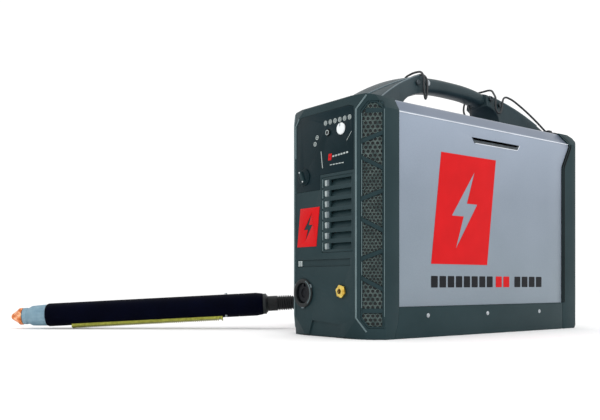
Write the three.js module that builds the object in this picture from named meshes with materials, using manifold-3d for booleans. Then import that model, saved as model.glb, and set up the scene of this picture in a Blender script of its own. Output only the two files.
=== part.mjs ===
// Plasma cutter unit: an inverter power supply in a folded steel cover between two moulded
// bezels, with a carrying handle, and a machine torch that lies beside it on its coiled lead.
// Millimetres, +Z up. The control panel faces -Y. The origin is the centre of the underside.
import * as THREE from 'three';
import { mergeVertices } from 'three/addons/utils/BufferGeometryUtils.js';
import { ConvexGeometry } from 'three/addons/geometries/ConvexGeometry.js';
import Module from 'manifold-3d';

const wasm = await Module();
wasm.setup();

// ---------------------------------------------------------------- driving dimensions
const GAP = 0.35; // clearance between two fitted pieces
const HALF_WIDTH = 86.5; // unit, across the bezels
const HALF_DEPTH = 221; // unit, front face to rear face, halved
const BODY_TOP = 301;
const SHOULDER_Z = 283; // where the side starts to lean in
const WALL = 3.5; // moulded walls
const SHEET = 1.6; // cover steel
const CORNER = 25.2; // vertical 45 degree corners of the front bezel
const TRAY_TOP = 39.3;
const FRONT_SEAM = -172.3; // rear edge of the front bezel
const REAR_SEAM = 180.3; // front edge of the rear bezel
const COVER_HALF = 85;
const GRIP_TOP = 364.5;
const FRONT_GRIP_SEAM = -52;
const REAR_GRIP_SEAM = 84;
const FAN_Z = 165;
const PANEL_Y = -HALF_DEPTH;

const TORCH_TIP = [-435, -478, 17.8];
const TORCH_HEADING = THREE.MathUtils.degToRad(51.9); // from +X, seen from above
const TORCH_RISE = THREE.MathUtils.degToRad(2.96); // its tail rests on the coiled lead
const TORCH_LENGTH = 436;
const SLEEVE_RADIUS = 17.5;

const LEAD_RADIUS = 6.5;
const LEAD_EXIT = [-140.3, 198, 60];
const COIL_CENTRE = [-192, 14];
const COIL_INNER = 46;
const COIL_OUTER = 98;
const COIL_HEIGHT = 37.3;

// ---------------------------------------------------------------- shape helpers
function solid(geometry) {
  const bare = new THREE.BufferGeometry();
  const source = geometry.index ? geometry.toNonIndexed() : geometry;
  bare.setAttribute('position', source.attributes.position.clone());
  const merged = mergeVertices(bare, 1e-3);
  const spots = merged.attributes.position;
  const kept = [];
  let volume = 0;
  const [a, b, c] = [new THREE.Vector3(), new THREE.Vector3(), new THREE.Vector3()];
  for (let i = 0; i < merged.index.count; i += 3) {
    const [p, q, r] = [0, 1, 2].map((step) => merged.index.getX(i + step));
    if (p === q || q === r || r === p) continue;
    kept.push([p, q, r]);
    a.fromBufferAttribute(spots, p);
    b.fromBufferAttribute(spots, q);
    c.fromBufferAttribute(spots, r);
    volume += a.dot(b.cross(c));
  }
  const facing = volume < 0 ? kept.map(([p, q, r]) => [p, r, q]) : kept;
  return new wasm.Manifold(new wasm.Mesh({
    numProp: 3,
    vertProperties: new Float32Array(spots.array),
    triVerts: new Uint32Array(facing.flat()),
  }));
}

function surface(body) {
  const mesh = body.getMesh();
  const geometry = new THREE.BufferGeometry();
  geometry.setAttribute('position', new THREE.BufferAttribute(new Float32Array(mesh.vertProperties), 3));
  geometry.setIndex(new THREE.BufferAttribute(new Uint32Array(mesh.triVerts), 1));
  geometry.computeVertexNormals();
  return geometry;
}

function join(...bodies) {
  return bodies.reduce((whole, next) => whole.add(next));
}

function cut(body, ...tools) {
  return tools.reduce((whole, tool) => whole.subtract(tool), body);
}

function largest(body) {
  return body.decompose().sort((one, other) => other.volume() - one.volume())[0];
}

function outline(points) {
  return new THREE.Shape(points.map(([u, v]) => new THREE.Vector2(u, v)));
}

function roundedOutline(u0, v0, u1, v1, radius) {
  const shape = new THREE.Shape();
  shape.moveTo(u0 + radius, v0);
  shape.lineTo(u1 - radius, v0);
  shape.absarc(u1 - radius, v0 + radius, radius, -Math.PI / 2, 0);
  shape.lineTo(u1, v1 - radius);
  shape.absarc(u1 - radius, v1 - radius, radius, 0, Math.PI / 2);
  shape.lineTo(u0 + radius, v1);
  shape.absarc(u0 + radius, v1 - radius, radius, Math.PI / 2, Math.PI);
  shape.lineTo(u0, v0 + radius);
  shape.absarc(u0 + radius, v0 + radius, radius, Math.PI, Math.PI * 1.5);
  return shape;
}

// An outline in (y, z), (x, z) or (x, y) extruded along the remaining axis.
function prism(shape, axis, from, to, segments = 4) {
  const settings = { depth: to - from, bevelEnabled: false, curveSegments: segments };
  const geometry = new THREE.ExtrudeGeometry(shape, settings);
  const [x, y, z] = [new THREE.Vector3(1, 0, 0), new THREE.Vector3(0, 1, 0), new THREE.Vector3(0, 0, 1)];
  const turn = new THREE.Matrix4();
  if (axis === 'x') turn.makeBasis(y, z, x).setPosition(from, 0, 0);
  if (axis === 'y') turn.makeBasis(x, z, y.clone().negate()).setPosition(0, to, 0);
  if (axis === 'z') turn.makeBasis(x, y, z).setPosition(0, 0, from);
  return solid(geometry.applyMatrix4(turn));
}

function block(x0, x1, y0, y1, z0, z1) {
  const geometry = new THREE.BoxGeometry(x1 - x0, y1 - y0, z1 - z0);
  return solid(geometry.translate((x0 + x1) / 2, (y0 + y1) / 2, (z0 + z1) / 2));
}

// A turned piece: the profile holds [radius, height] pairs, and height runs from base along axis.
function turned(profile, base, axis, sides = 24) {
  const geometry = new THREE.LatheGeometry(profile.map(([r, h]) => new THREE.Vector2(r, h)), sides);
  const direction = new THREE.Vector3(...axis).normalize();
  geometry.applyQuaternion(new THREE.Quaternion().setFromUnitVectors(new THREE.Vector3(0, 1, 0), direction));
  return solid(geometry.translate(...base));
}

function rod(radius, length, base, axis, sides = 16) {
  return turned([[0, 0], [radius, 0], [radius, length], [0, length]], base, axis, sides);
}

function tube(points, radius, steps, sides) {
  const section = new THREE.Shape();
  section.absarc(0, 0, radius, 0, Math.PI * 2);
  const path = new THREE.CatmullRomCurve3(points.map((point) => new THREE.Vector3(...point)));
  const ring = new THREE.Shape(section.getPoints(sides).slice(0, sides));
  return solid(new THREE.ExtrudeGeometry(ring, { steps, extrudePath: path, bevelEnabled: false }));
}

function hull(points) {
  return solid(new ConvexGeometry(points.map((point) => new THREE.Vector3(...point))));
}

function mirrored(body) {
  return solid(surface(body).scale(-1, 1, 1));
}

// Moves each vertex of a unit box or cylinder by a rule.
function shaped(geometry, rule) {
  const spots = geometry.attributes.position;
  for (let i = 0; i < spots.count; i += 1) {
    spots.setXYZ(i, ...rule(spots.getX(i), spots.getY(i), spots.getZ(i)));
  }
  return solid(geometry);
}

function finish(color, roughness, metalness = 0) {
  return new THREE.MeshStandardMaterial({ color, roughness, metalness });
}

const unit = new THREE.Group();

function piece(name, body, material, parent = unit) {
  const mesh = new THREE.Mesh(surface(body), material);
  mesh.name = name;
  parent.add(mesh);
}

const darkPlastic = () => finish(0x35464a, 0.6);
const blackPlastic = () => finish(0x1b2023, 0.6);
const silverPaint = () => finish(0xa3adbc, 0.45, 0.3);
const zincSteel = () => finish(0xaab0b4, 0.4, 0.8);
const brass = () => finish(0xc9a13b, 0.35, 0.9);

// ---------------------------------------------------------------- housing
function bodyOutline(inset) {
  const side = HALF_WIDTH - inset;
  const right = [[side, SHOULDER_Z], [77.5 - inset, BODY_TOP - 2 - inset * 0.7], [68 - inset, BODY_TOP - inset]];
  const left = right.map(([x, z]) => [-x, z]).reverse();
  return outline([[-side, inset], [side, inset], ...right, ...left]);
}

function frontPlan(inset) {
  const side = HALF_WIDTH - inset;
  const face = -HALF_DEPTH + inset;
  const lean = CORNER - inset * 0.4;
  const halves = [[side, face + lean], [side - lean, face]];
  return outline([...halves, ...halves.map(([x, y]) => [-x, y]).reverse(), [-side, -160], [side, -160]]);
}

// The corner between the panel and each slanted corner face is bevelled at its top and foot.
// Each bevel can be moved inward by the same distance along all three axes.
function cornerBevels(inward = 0) {
  const edge = HALF_WIDTH - CORNER;
  const shifted = (points, up) => points.map(([x, y, z]) => [x - inward, y + inward, z + up * inward]);
  const top = hull(shifted([[edge, -221, 282], [38, -221, 301.2], [edge + 9, -212, 301.2], [edge + 12, -240, 304],
    [38, -240, 304], [edge, -240, 282]], -1));
  const foot = hull(shifted([[edge, -221, 26], [37, -221, -0.2], [edge + 9, -212, -0.2], [edge + 12, -240, -3],
    [37, -240, -3], [edge, -240, 26]], 1));
  return [top, foot, mirrored(top), mirrored(foot)];
}

// Places an outline in (along the slanted corner face, z) so that it runs from inside to outside.
function onCorner(shape, inside, outside) {
  const geometry = new THREE.ExtrudeGeometry(shape, { depth: outside - inside, bevelEnabled: false });
  const along = new THREE.Vector3(1, 1, 0).normalize();
  const outward = new THREE.Vector3(1, -1, 0).normalize();
  const base = new THREE.Vector3(HALF_WIDTH - CORNER, -HALF_DEPTH, 0).addScaledVector(outward, inside);
  const turn = new THREE.Matrix4().makeBasis(along, new THREE.Vector3(0, 0, 1), outward);
  return solid(geometry.applyMatrix4(turn.setPosition(base)));
}

function ventOutline(grow) {
  const [left, right, low, high] = [5.5 - grow, 33.5 + grow, 14 - grow, 291 + grow];
  return outline([[left + 9, low], [right, low], [right, high], [left + 9, high], [left, high - 11],
    [left, low + 11]]);
}

const KNOB = [34.5, 262];
const MODE = [-40, 209];
const BUTTON = [8.5, 261];
const LAMP_Z = 274;
const LAMPS = [0, 1, 2, 3, 4, 5].map((place) => 3.5 + place * 9.2);
const SOCKET = [-42, 56];
const STUD = [34.5, 58.8];
const LOUVRE = { x0: -4, x1: 54.5, z0: 108.5, z1: 204.5, count: 7, pitch: 13.5, first: 197 };

function panelHole([x, z], radius, sides = 24) {
  return rod(radius, 14, [x, PANEL_Y + 12, z], [0, -1, 0], sides);
}

function overlayOutline(grow) {
  const [left, right, low, high] = [-56 - grow, 56 + grow, 190 - grow, 289 + grow];
  return outline([[left, low], [-8 + grow, low], [-8 + grow, 209 - grow], [right, 209 - grow], [right, high - 3],
    [right - 9, high], [left + 9, high], [left, high - 9]]);
}

function makeFrontBezel() {
  const side = outline([[-221, 3], [-221, 299], [-218, BODY_TOP], [FRONT_SEAM, BODY_TOP], [FRONT_SEAM, 39],
    [FRONT_SEAM - 2, 20], [FRONT_SEAM - 9, 0], [-216, 0]]);
  const shell = prism(bodyOutline(0), 'y', -225, -160)
    .intersect(prism(frontPlan(0), 'z', -2, 305))
    .intersect(prism(side, 'x', -90, 90));
  const space = prism(bodyOutline(WALL), 'y', -225, -150).intersect(prism(frontPlan(WALL), 'z', -2, 305));
  const hollow = cut(space, ...cornerBevels(2.2));
  const window = onCorner(ventOutline(GAP), -9, 4);
  const grip = prism(outline([[-33, -2], [36, -2], [30, 17], [-24, 21]]), 'y', -223, PANEL_Y + 2.5);
  const channel = block(-55, 50, -223, PANEL_Y + 2.4, 90.4, 99.6);
  return cut(shell, hollow, window, mirrored(window), ...cornerBevels(), channel,
    prism(overlayOutline(GAP), 'y', -223, PANEL_Y + 1.6),
    block(LOUVRE.x0 - GAP, LOUVRE.x1 + GAP, -223, -210, LOUVRE.z0 - GAP, LOUVRE.z1 + GAP),
    panelHole(KNOB, 3.4), panelHole(MODE, 3.4), panelHole(BUTTON, 4.6), panelHole(SOCKET, 17.3, 32),
    panelHole(STUD, 5.4), ...LAMPS.map((x) => panelHole([x, LAMP_Z], 2.2, 12)), grip);
}

function makeOverlay() {
  const plate = prism(overlayOutline(0), 'y', PANEL_Y - 0.2, PANEL_Y + 1.2);
  return cut(plate, panelHole(KNOB, 3.4), panelHole(MODE, 3.4), panelHole(BUTTON, 4.6),
    ...LAMPS.map((x) => panelHole([x, LAMP_Z], 2.2, 12)));
}

function makeLouvre() {
  const plate = block(LOUVRE.x0, LOUVRE.x1, PANEL_Y + 0.4, PANEL_Y + 4, LOUVRE.z0, LOUVRE.z1);
  const slots = Array.from({ length: LOUVRE.count }, (_, row) => {
    const z = LOUVRE.first - row * LOUVRE.pitch;
    return block(12, 52, PANEL_Y - 2, PANEL_Y + 6, z - 4, z + 4);
  });
  return cut(plate, ...slots);
}

function makeLightPipe() {
  const bar = block(0.5, 52.5, PANEL_Y + 4.2, PANEL_Y + 6.4, LAMP_Z - 3, LAMP_Z + 3);
  return join(bar, ...LAMPS.map((x) => rod(1.8, 5.6, [x, PANEL_Y + 5, LAMP_Z], [0, -1, 0], 12)));
}

function rearSide(grow) {
  const front = REAR_SEAM - grow;
  return outline([[front, -2], [front, 244], [front + 19, 279], [front + 3.7, 296], [front + 3.7, BODY_TOP + 2],
    [201, BODY_TOP + 2], [201, BODY_TOP], [216, 295], [HALF_DEPTH, 286], [HALF_DEPTH, 10], [211, 0], [205, -2]]);
}

const ROCKER = [50, 262];
const GLAND_LOW = [48, 62];
const AIR_LOW = [-46, 74];
const PORT = [-45, 262];
const LEAD_HOLE = [LEAD_EXIT[1], LEAD_EXIT[2]];

function rearHole([x, z], radius) {
  return rod(radius, 14, [x, HALF_DEPTH - 9, z], [0, 1, 0], 24);
}

function makeRearBezel() {
  const plan = roundedOutline(-HALF_WIDTH, 150, HALF_WIDTH, HALF_DEPTH, 9);
  const shell = prism(bodyOutline(0), 'y', 170, 225)
    .intersect(prism(rearSide(0), 'x', -90, 90))
    .intersect(prism(plan, 'z', -1, 305));
  const inside = outline([[160, WALL], [208, WALL], [HALF_DEPTH - WALL, 12], [HALF_DEPTH - WALL, 283], [213.5, 291.5],
    [200, BODY_TOP - WALL], [160, BODY_TOP - WALL]]);
  const hollow = prism(bodyOutline(WALL), 'y', 160, HALF_DEPTH - WALL).intersect(prism(inside, 'x', -90, 90));
  return cut(shell, hollow,
    prism(roundedOutline(-55, FAN_Z - 55, 55, FAN_Z + 55, 12), 'y', 210, 225),
    block(ROCKER[0] - 15.4, ROCKER[0] + 15.4, 210, 225, ROCKER[1] - 10.4, ROCKER[1] + 10.4),
    rearHole(GLAND_LOW, 10.4), rearHole(AIR_LOW, 7.4),
    block(PORT[0] - 14.4, PORT[0] + 14.4, 210, 225, PORT[1] - 9.4, PORT[1] + 9.4),
    rod(10.4, 12, [-78, ...LEAD_HOLE], [-1, 0, 0], 24));
}

function makeTray() {
  const side = outline([[FRONT_SEAM + GAP, TRAY_TOP], [FRONT_SEAM - 2 + GAP, 20], [FRONT_SEAM - 9 + GAP, 0],
    [REAR_SEAM - GAP, 0], [REAR_SEAM - GAP, TRAY_TOP]]);
  const shell = prism(side, 'x', -HALF_WIDTH, HALF_WIDTH);
  return shell.subtract(block(-HALF_WIDTH + WALL, HALF_WIDTH - WALL, -200, 200, WALL, 60));
}

function makeCover() {
  const outer = [[COVER_HALF, TRAY_TOP + GAP], [COVER_HALF, 281.7], [76, 297.5], [66, BODY_TOP]];
  const inner = [[66, BODY_TOP - SHEET], [75, 297.5 - SHEET], [COVER_HALF - SHEET, 281], [COVER_HALF - SHEET,
    TRAY_TOP + GAP]];
  const flip = (points) => points.map(([x, z]) => [-x, z]).reverse();
  const sheet = prism(outline([...outer, ...flip(outer), ...flip(inner), ...inner]), 'y', FRONT_SEAM + GAP, 200);
  const slot = outline([[-32, 266.5], [74.6, 266.5], [69, 259], [-26.5, 259]]);
  return cut(sheet, prism(rearSide(GAP), 'x', -90, 90), prism(slot, 'x', -90, 90));
}

const halfWidthAt = (y) => {
  const reach = Math.abs(y);
  if (reach < 70) return 16;
  if (reach < 110) return 16 + (reach - 70) * 0.16;
  return 22.4 + (reach - 110) * 0.2;
};
const ridgeAt = (y) => (y < 20
  ? GRIP_TOP - 66 * Math.pow(Math.abs(Math.min(y, 0)) / 200, 2.2)
  : GRIP_TOP - 52 * Math.pow((y - 20) / 180, 2.1));
// The opening under the grip: a long slope at the front and a squarer end at the rear.
const ARCH_MIDDLE = 17;
const archAt = (y) => {
  const [reach, power] = y < ARCH_MIDDLE ? [122, 2.2] : [92, 3.2];
  const along = Math.min(Math.abs(y - ARCH_MIDDLE) / reach, 1);
  return BODY_TOP + GAP + 41.5 * Math.pow(1 - Math.pow(along, power), 1 / power);
};
const dropAt = (y) => Math.max(0, Math.min(y < 0 ? 20 : 4, (Math.abs(y) - 60) * 0.2));

// A handle leg: crowned across, widening and thinning towards its foot on the bezel.
function makeLeg(foot, seam) {
  const geometry = new THREE.BoxGeometry(1, 1, 1, 6, 14, 1);
  return shaped(geometry, (across, along, up) => {
    const y = foot + (seam - foot) * (along + 0.5);
    const low = archAt(y);
    const ridge = Math.max(ridgeAt(y), low + 3);
    const edge = Math.max(ridge - dropAt(y), low + 1.5);
    const crown = edge + (ridge - edge) * (1 - Math.pow(2 * across, 2));
    const width = halfWidthAt(y) + (up < 0 ? 2 : 0);
    return [across * 2 * width, y, up < 0 ? low : crown];
  });
}

function makeGrip() {
  const geometry = new THREE.CylinderGeometry(1, 1, 1, 18, 12);
  return shaped(geometry, (across, along, up) => {
    const y = FRONT_GRIP_SEAM + GAP + (REAR_GRIP_SEAM - FRONT_GRIP_SEAM - 2 * GAP) * (along + 0.5);
    const [low, high] = [archAt(y) + 0.6, ridgeAt(y) - 0.6];
    const rounded = (value) => Math.sign(value) * Math.pow(Math.abs(value), 0.75);
    return [rounded(across) * 15, y, (low + high) / 2 + rounded(up) * (high - low) / 2];
  });
}

const HANDLE_BOLTS = [[-65.5, 348.5, 18.2], [-43, 352, 15.2], [91, 349, 21.6], [109, 341.5, 24.5]]; // y, z, half length

function makeHandle() {
  const holes = HANDLE_BOLTS.map(([y, z]) => rod(3.4, 90, [-45, y, z], [1, 0, 0], 12));
  piece('handle_front_leg', cut(makeLeg(-198, FRONT_GRIP_SEAM), holes[0]), darkPlastic());
  piece('handle_grip', cut(makeGrip(), holes[1]), darkPlastic());
  piece('handle_rear_leg', cut(makeLeg(200, REAR_GRIP_SEAM), holes[2], holes[3]), darkPlastic());
  HANDLE_BOLTS.forEach(([y, z, half], place) => {
    const bolt = turned([[0, 0], [4.4, 0], [4.8, 2.4], [3, 2.4], [3, 2.6 + 2 * half + GAP], [4.8, 2.6 + 2 * half + GAP],
      [4.4, 5 + 2 * half + GAP], [0, 5 + 2 * half + GAP]], [-half - 2.6 - GAP / 2, y, z], [1, 0, 0], 12);
    piece(`handle_bolt_${place + 1}`, bolt, zincSteel());
  });
}

// Coated wire ties on the handle: a loop at the front joint, and a turn at the rear joint whose
// tail runs down to its anchor on the rear bezel.
const FRONT_TIE = [[-21.4, -54, 341], [-21.4, -54.5, 353], [-16.5, -55.5, 363.4], [-5, -56, 366.6], [6, -56, 367.2],
  [15.6, -56.4, 365], [21.4, -57.6, 356.5], [22.6, -59, 346], [23, -58, 333], [22.8, -55.6, 326.5], [22.4, -52.6, 331.5],
  [21.8, -50.8, 345], [20, -50.2, 355.6], [12.6, -50, 363], [1, -50, 364.2], [-11, -50, 363], [-19.4, -50.2, 354.5]];
const REAR_TIE = [[0, 66, 338.5], [4, 64, 330], [6, 63, 321.5], [3, 67, 317], [-4, 72, 318.5], [-14, 76, 325],
  [-21, 79, 335], [-22.4, 82, 346], [-21.2, 86.5, 355.5], [-17, 91, 361], [-9, 97, 364], [0, 101, 365.4],
  [8, 102, 365.8], [15.5, 100.5, 363.5], [21.6, 97.5, 357.5], [27.4, 94.5, 349.5], [28.6, 92.8, 341], [28.6, 93.4, 333],
  [28.8, 98, 327.2], [29.8, 103, 328.4], [30.2, 106, 336], [30.2, 107.5, 344], [29.6, 111, 350.5], [29.2, 117, 353.3],
  [30, 124, 352.6], [33, 133, 348.5], [39.6, 151, 336], [46.6, 169, 321], [53, 184, 306.5]];

// ---------------------------------------------------------------- front panel pieces
function makeKnob([x, z], radius, height) {
  const profile = [[0, 0], [radius - 0.8, 0], [radius, 0.8], [radius, height], [2.9, height], [2.9, height + 7],
    [0, height + 7]];
  return turned(profile, [x, PANEL_Y - 0.6 - height, z], [0, 1, 0], 32);
}

function makeButton() {
  const profile = [[0, 0], [3.6, 0], [4.1, 0.6], [4.1, 6.2], [5.4, 6.2], [5.4, 8], [0, 8]];
  return turned(profile, [BUTTON[0], PANEL_Y - 2.2, BUTTON[1]], [0, 1, 0], 24);
}

function makeSocketRing() {
  const profile = [[13.5, 0], [19, 0], [19, 2], [17, 2.6], [17, 14], [13.5, 14], [13.5, 0]];
  return turned(profile, [SOCKET[0], PANEL_Y - 3, SOCKET[1]], [0, 1, 0], 32);
}

function makeSocketInsert() {
  const disc = rod(13.1, 8, [SOCKET[0], PANEL_Y + 0.6, SOCKET[1]], [0, 1, 0], 32);
  const pin = rod(5, 3, [SOCKET[0], PANEL_Y - 1.8, SOCKET[1]], [0, 1, 0], 20);
  return join(disc, pin, block(SOCKET[0] - 1.6, SOCKET[0] + 1.6, PANEL_Y - 1.6, PANEL_Y + 2, SOCKET[1] + 9, SOCKET[1] + 12));
}

function makeStud() {
  const hex = turned([[0, 0], [9, 0], [9, 5], [0, 5]], [STUD[0], PANEL_Y - 5.4, STUD[1]], [0, 1, 0], 6);
  const shank = rod(5, 22, [STUD[0], PANEL_Y - 4, STUD[1]], [0, 1, 0], 20);
  return join(hex, shank).subtract(rod(3.1, 12, [STUD[0], PANEL_Y - 8, STUD[1]], [0, 1, 0], 16));
}

function makeFrontPanel() {
  piece('control_overlay', makeOverlay(), finish(0x1f2a2e, 0.45));
  piece('louvre_panel', makeLouvre(), blackPlastic());
  piece('status_light_pipe', makeLightPipe(), finish(0xd9dfe0, 0.3));
  piece('adjust_knob', makeKnob(KNOB, 8, 6), finish(0xe9eef0, 0.4));
  piece('mode_knob', makeKnob(MODE, 11, 6), blackPlastic());
  piece('gas_test_button', makeButton(), finish(0x59656a, 0.5));
  piece('work_lead_socket', makeSocketRing(), blackPlastic());
  piece('work_lead_insert', makeSocketInsert(), finish(0x24292b, 0.7));
  piece('ground_stud', makeStud(), brass());
}

// ---------------------------------------------------------------- rear panel pieces
function makeGrille() {
  const plate = prism(roundedOutline(-54.6, FAN_Z - 54.6, 54.6, FAN_Z + 54.6, 11.6), 'y', 217.6, 220.4);
  const slots = Array.from({ length: 9 }, (_, row) => {
    const z = FAN_Z + (row - 4) * 10.4;
    const reach = Math.sqrt(52 * 52 - (z - FAN_Z) * (z - FAN_Z)) - 4;
    return block(-reach, reach, 210, 225, z - 3.2, z + 3.2);
  });
  const ribs = [-1, 1].map((side) => block(side * 18 - 1.5, side * 18 + 1.5, 217.6, 220.4, FAN_Z - 50, FAN_Z + 50));
  return join(cut(plate, ...slots), ...ribs);
}

function makeRockerFrame() {
  const frame = join(block(-17.5, 17.5, HALF_DEPTH + GAP, HALF_DEPTH + 2.4, -12.5, 12.5),
    block(-15, 15, HALF_DEPTH - 12, HALF_DEPTH + 1, -10, 10));
  const well = cut(frame, block(-12, 12, HALF_DEPTH - 9, HALF_DEPTH + 5, -7.6, 7.6));
  return solid(surface(well).translate(ROCKER[0], 0, ROCKER[1]));
}

const ROCKER_TILT = THREE.MathUtils.degToRad(8);

function makeRocker() {
  const shape = outline([[-7, -6.4], [3, -7.1], [1.6, 0], [3, 7.1], [-7, 6.4]]);
  const body = prism(shape, 'x', -11.5, 11.5);
  const tipped = surface(body).rotateX(ROCKER_TILT);
  return solid(tipped.translate(ROCKER[0], HALF_DEPTH, ROCKER[1]));
}

function makeMainsGland() {
  const profile = [[0, 0], [13, 0], [13, 3.2], [10, 3.2], [10, 7], [14, 7], [14, 13], [11.5, 14], [11.5, 22],
    [9.5, 25], [7, 25], [7, 21.8], [0, 21.8]];
  return turned(profile, [GLAND_LOW[0], HALF_DEPTH - WALL - 3.4, GLAND_LOW[1]], [0, 1, 0], 24);
}

function makeAirFitting() {
  const profile = [[0, 0], [9.5, 0], [9.5, 3.2], [7, 3.2], [7, 7], [10, 7], [10, 14], [6, 14], [6, 18], [4.4, 19],
    [4.4, 22], [6, 23], [6, 27], [4, 30], [0, 30]];
  return turned(profile, [AIR_LOW[0], HALF_DEPTH - WALL - 3.4, AIR_LOW[1]], [0, 1, 0], 18);
}

function makePortCover() {
  const lid = block(-16.5, 16.5, HALF_DEPTH + GAP, HALF_DEPTH + 2.6, -11.5, 11.5);
  const plug = block(-14, 14, HALF_DEPTH - 5, HALF_DEPTH + 1, -9, 9);
  return solid(surface(join(lid, plug)).translate(PORT[0], 0, PORT[1]));
}

function makeRearPanel() {
  piece('rear_grille', makeGrille(), blackPlastic());
  piece('rocker_frame', makeRockerFrame(), blackPlastic());
  piece('power_rocker', makeRocker(), finish(0xb8201f, 0.4));
  piece('mains_gland', makeMainsGland(), blackPlastic());
  piece('air_inlet_fitting', makeAirFitting(), brass());
  piece('port_cover', makePortCover(), blackPlastic());
}

// ---------------------------------------------------------------- inner pieces
function makeFanFrame() {
  const frame = prism(roundedOutline(-60, FAN_Z - 60, 60, FAN_Z + 60, 6), 'y', 188, 213);
  const bore = rod(55, 40, [0, 180, FAN_Z], [0, 1, 0], 32);
  const arms = [0, 1, 2, 3].map((arm) => {
    const bar = new THREE.BoxGeometry(6, 3, 60).translate(0, 0, 30).rotateY(Math.PI / 4 + arm * Math.PI / 2);
    return solid(bar.translate(0, 190, FAN_Z)).intersect(rod(57, 10, [0, 185, FAN_Z], [0, 1, 0], 32));
  });
  const hub = rod(19, 3, [0, 188.5, FAN_Z], [0, 1, 0], 24);
  return join(cut(frame, bore), hub, ...arms);
}

function makeFanRotor() {
  const hub = rod(19, 18, [0, 192.2, FAN_Z], [0, 1, 0], 24);
  const blades = Array.from({ length: 7 }, (_, place) => {
    const blade = new THREE.BoxGeometry(26, 1.6, 37).rotateZ(0.55).translate(0, 0, 34);
    return solid(blade.rotateY(place * Math.PI * 2 / 7).translate(0, 201.2, FAN_Z));
  });
  const sweep = rod(52.5, 17.6, [0, 192.4, FAN_Z], [0, 1, 0], 32);
  return join(hub, ...blades).intersect(sweep);
}

function makeHeatsink() {
  const fins = Array.from({ length: 8 }, (_, row) => block(10, 56, -50, 120, 62 + row * 11, 64.4 + row * 11));
  return join(block(4, 10.2, -50, 120, 60, 143), ...fins);
}

function makeTransformer() {
  const core = cut(block(-76, -16, -20, 40, 10, 70), block(-68, -50, -25, 45, 20, 60), block(-42, -24, -25, 45, 20, 60));
  const coil = cut(block(-66.5, -25.5, -30, 50, 21, 59), block(-50.4, -41.6, -20.4, 40.4, 10, 70));
  const windings = coil.subtract(block(-52, -40, -29, 49, 19, 61).intersect(block(-50.5, -41.5, -22, 42, 0, 80)));
  return [core, largest(windings)];
}

function makeInnerPieces() {
  const green = () => finish(0x1f5b3a, 0.6);
  piece('centre_chassis', join(block(-1.6, 0, -165, 178, 5, 292), block(-1.6, 30, -165, 178, 4, 5.6)), zincSteel());
  piece('fan_frame', makeFanFrame(), blackPlastic());
  piece('fan_rotor', makeFanRotor(), blackPlastic());
  piece('heatsink', makeHeatsink(), finish(0xb9bec2, 0.4, 0.8));
  piece('power_board', block(64, 65.6, -90, 130, 26, 262), green());
  piece('control_board', block(-54, 54, -206, -204.4, 196, 284), green());
  piece('dc_capacitor_1', rod(17, 48, [40, -110, 150], [0, 0, 1], 20), finish(0x2b4f8c, 0.5));
  piece('dc_capacitor_2', rod(17, 48, [40, -110, 210], [0, 0, 1], 20), finish(0x2b4f8c, 0.5));
  piece('rectifier_module', block(4, 40, -40, 20, 160, 178), blackPlastic());
  const [core, winding] = makeTransformer();
  piece('transformer_core', core, finish(0x4b4642, 0.7));
  piece('transformer_winding', winding, finish(0xb06b34, 0.5, 0.4));
  const choke = new THREE.TorusGeometry(22, 9, 10, 20).rotateY(Math.PI / 2).translate(-44, 110, 40);
  piece('output_choke', solid(choke), finish(0xb06b34, 0.5, 0.4));
  piece('solenoid_valve', join(block(-60, -30, -120, -90, 60, 78), rod(9, 22, [-45, -105, 77], [0, 0, 1], 16)), brass());
  const regulator = [[0, 0], [15, 0], [17, 4], [17, 44], [19, 46], [19, 74], [12, 76], [12, 92], [0, 92]];
  piece('air_filter_regulator', turned(regulator, [-46, 160, 30], [0, 0, 1], 20), finish(0xc8ccd0, 0.4, 0.5));
  const hose = [[-46, 140.6, 88], [-46, 120, 89], [-50, 60, 92], [-50, 0, 92], [-46, -50, 88], [-45, -88, 72]];
  piece('air_hose', tube(hose, 4, 14, 8), finish(0x20252a, 0.6));
}

// ---------------------------------------------------------------- torch and lead
const torch = new THREE.Group();
torch.position.set(...TORCH_TIP);
torch.rotation.set(0, -TORCH_RISE, TORCH_HEADING, 'ZYX');
unit.add(torch);

const ALONG = [1, 0, 0];

function makeTorch() {
  const nozzle = [[0, 0], [1.8, 0], [4, 1.5], [9.5, 11], [13, 12.2], [13, 18], [0, 18]];
  const cap = [[0, 18.3], [12.6, 18.3], [12.6, 28.5], [15, 32], [16.2, 54.7], [0, 54.7]];
  const sleeve = [[0, 55], [16.2, 55], [SLEEVE_RADIUS, 58.5], [SLEEVE_RADIUS, 378], [16, 384], [0, 384]];
  const coupler = [[0, 384.3], [15.6, 384.3], [15.6, 389], [12.6, 391.4], [0, 391.4]];
  const boot = [[0, 391.7], [11.4, 391.7], [11.4, 428], [8.6, TORCH_LENGTH], [0, TORCH_LENGTH]];
  const bar = new THREE.BoxGeometry(229, 10, 6.6).translate(207.5, 0, -18.6).rotateX(-0.26);
  const groove = new THREE.BoxGeometry(229.7, 10.7, 11).translate(207.5, 0, -20.45).rotateX(-0.26);
  piece('torch_nozzle', turned(nozzle, [0, 0, 0], ALONG, 24), finish(0xc77b4e, 0.35, 0.8), torch);
  piece('retaining_cap', turned(cap, [0, 0, 0], ALONG, 28), finish(0x84a0ae, 0.5), torch);
  piece('torch_sleeve', turned(sleeve, [0, 0, 0], ALONG, 28).subtract(solid(groove)), finish(0x0c1020, 0.5), torch);
  piece('gear_rack', solid(bar), brass(), torch);
  piece('torch_coupler', turned(coupler, [0, 0, 0], ALONG, 24), blackPlastic(), torch);
  piece('torch_boot', turned(boot, [0, 0, 0], ALONG, 20), blackPlastic(), torch);
}

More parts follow.
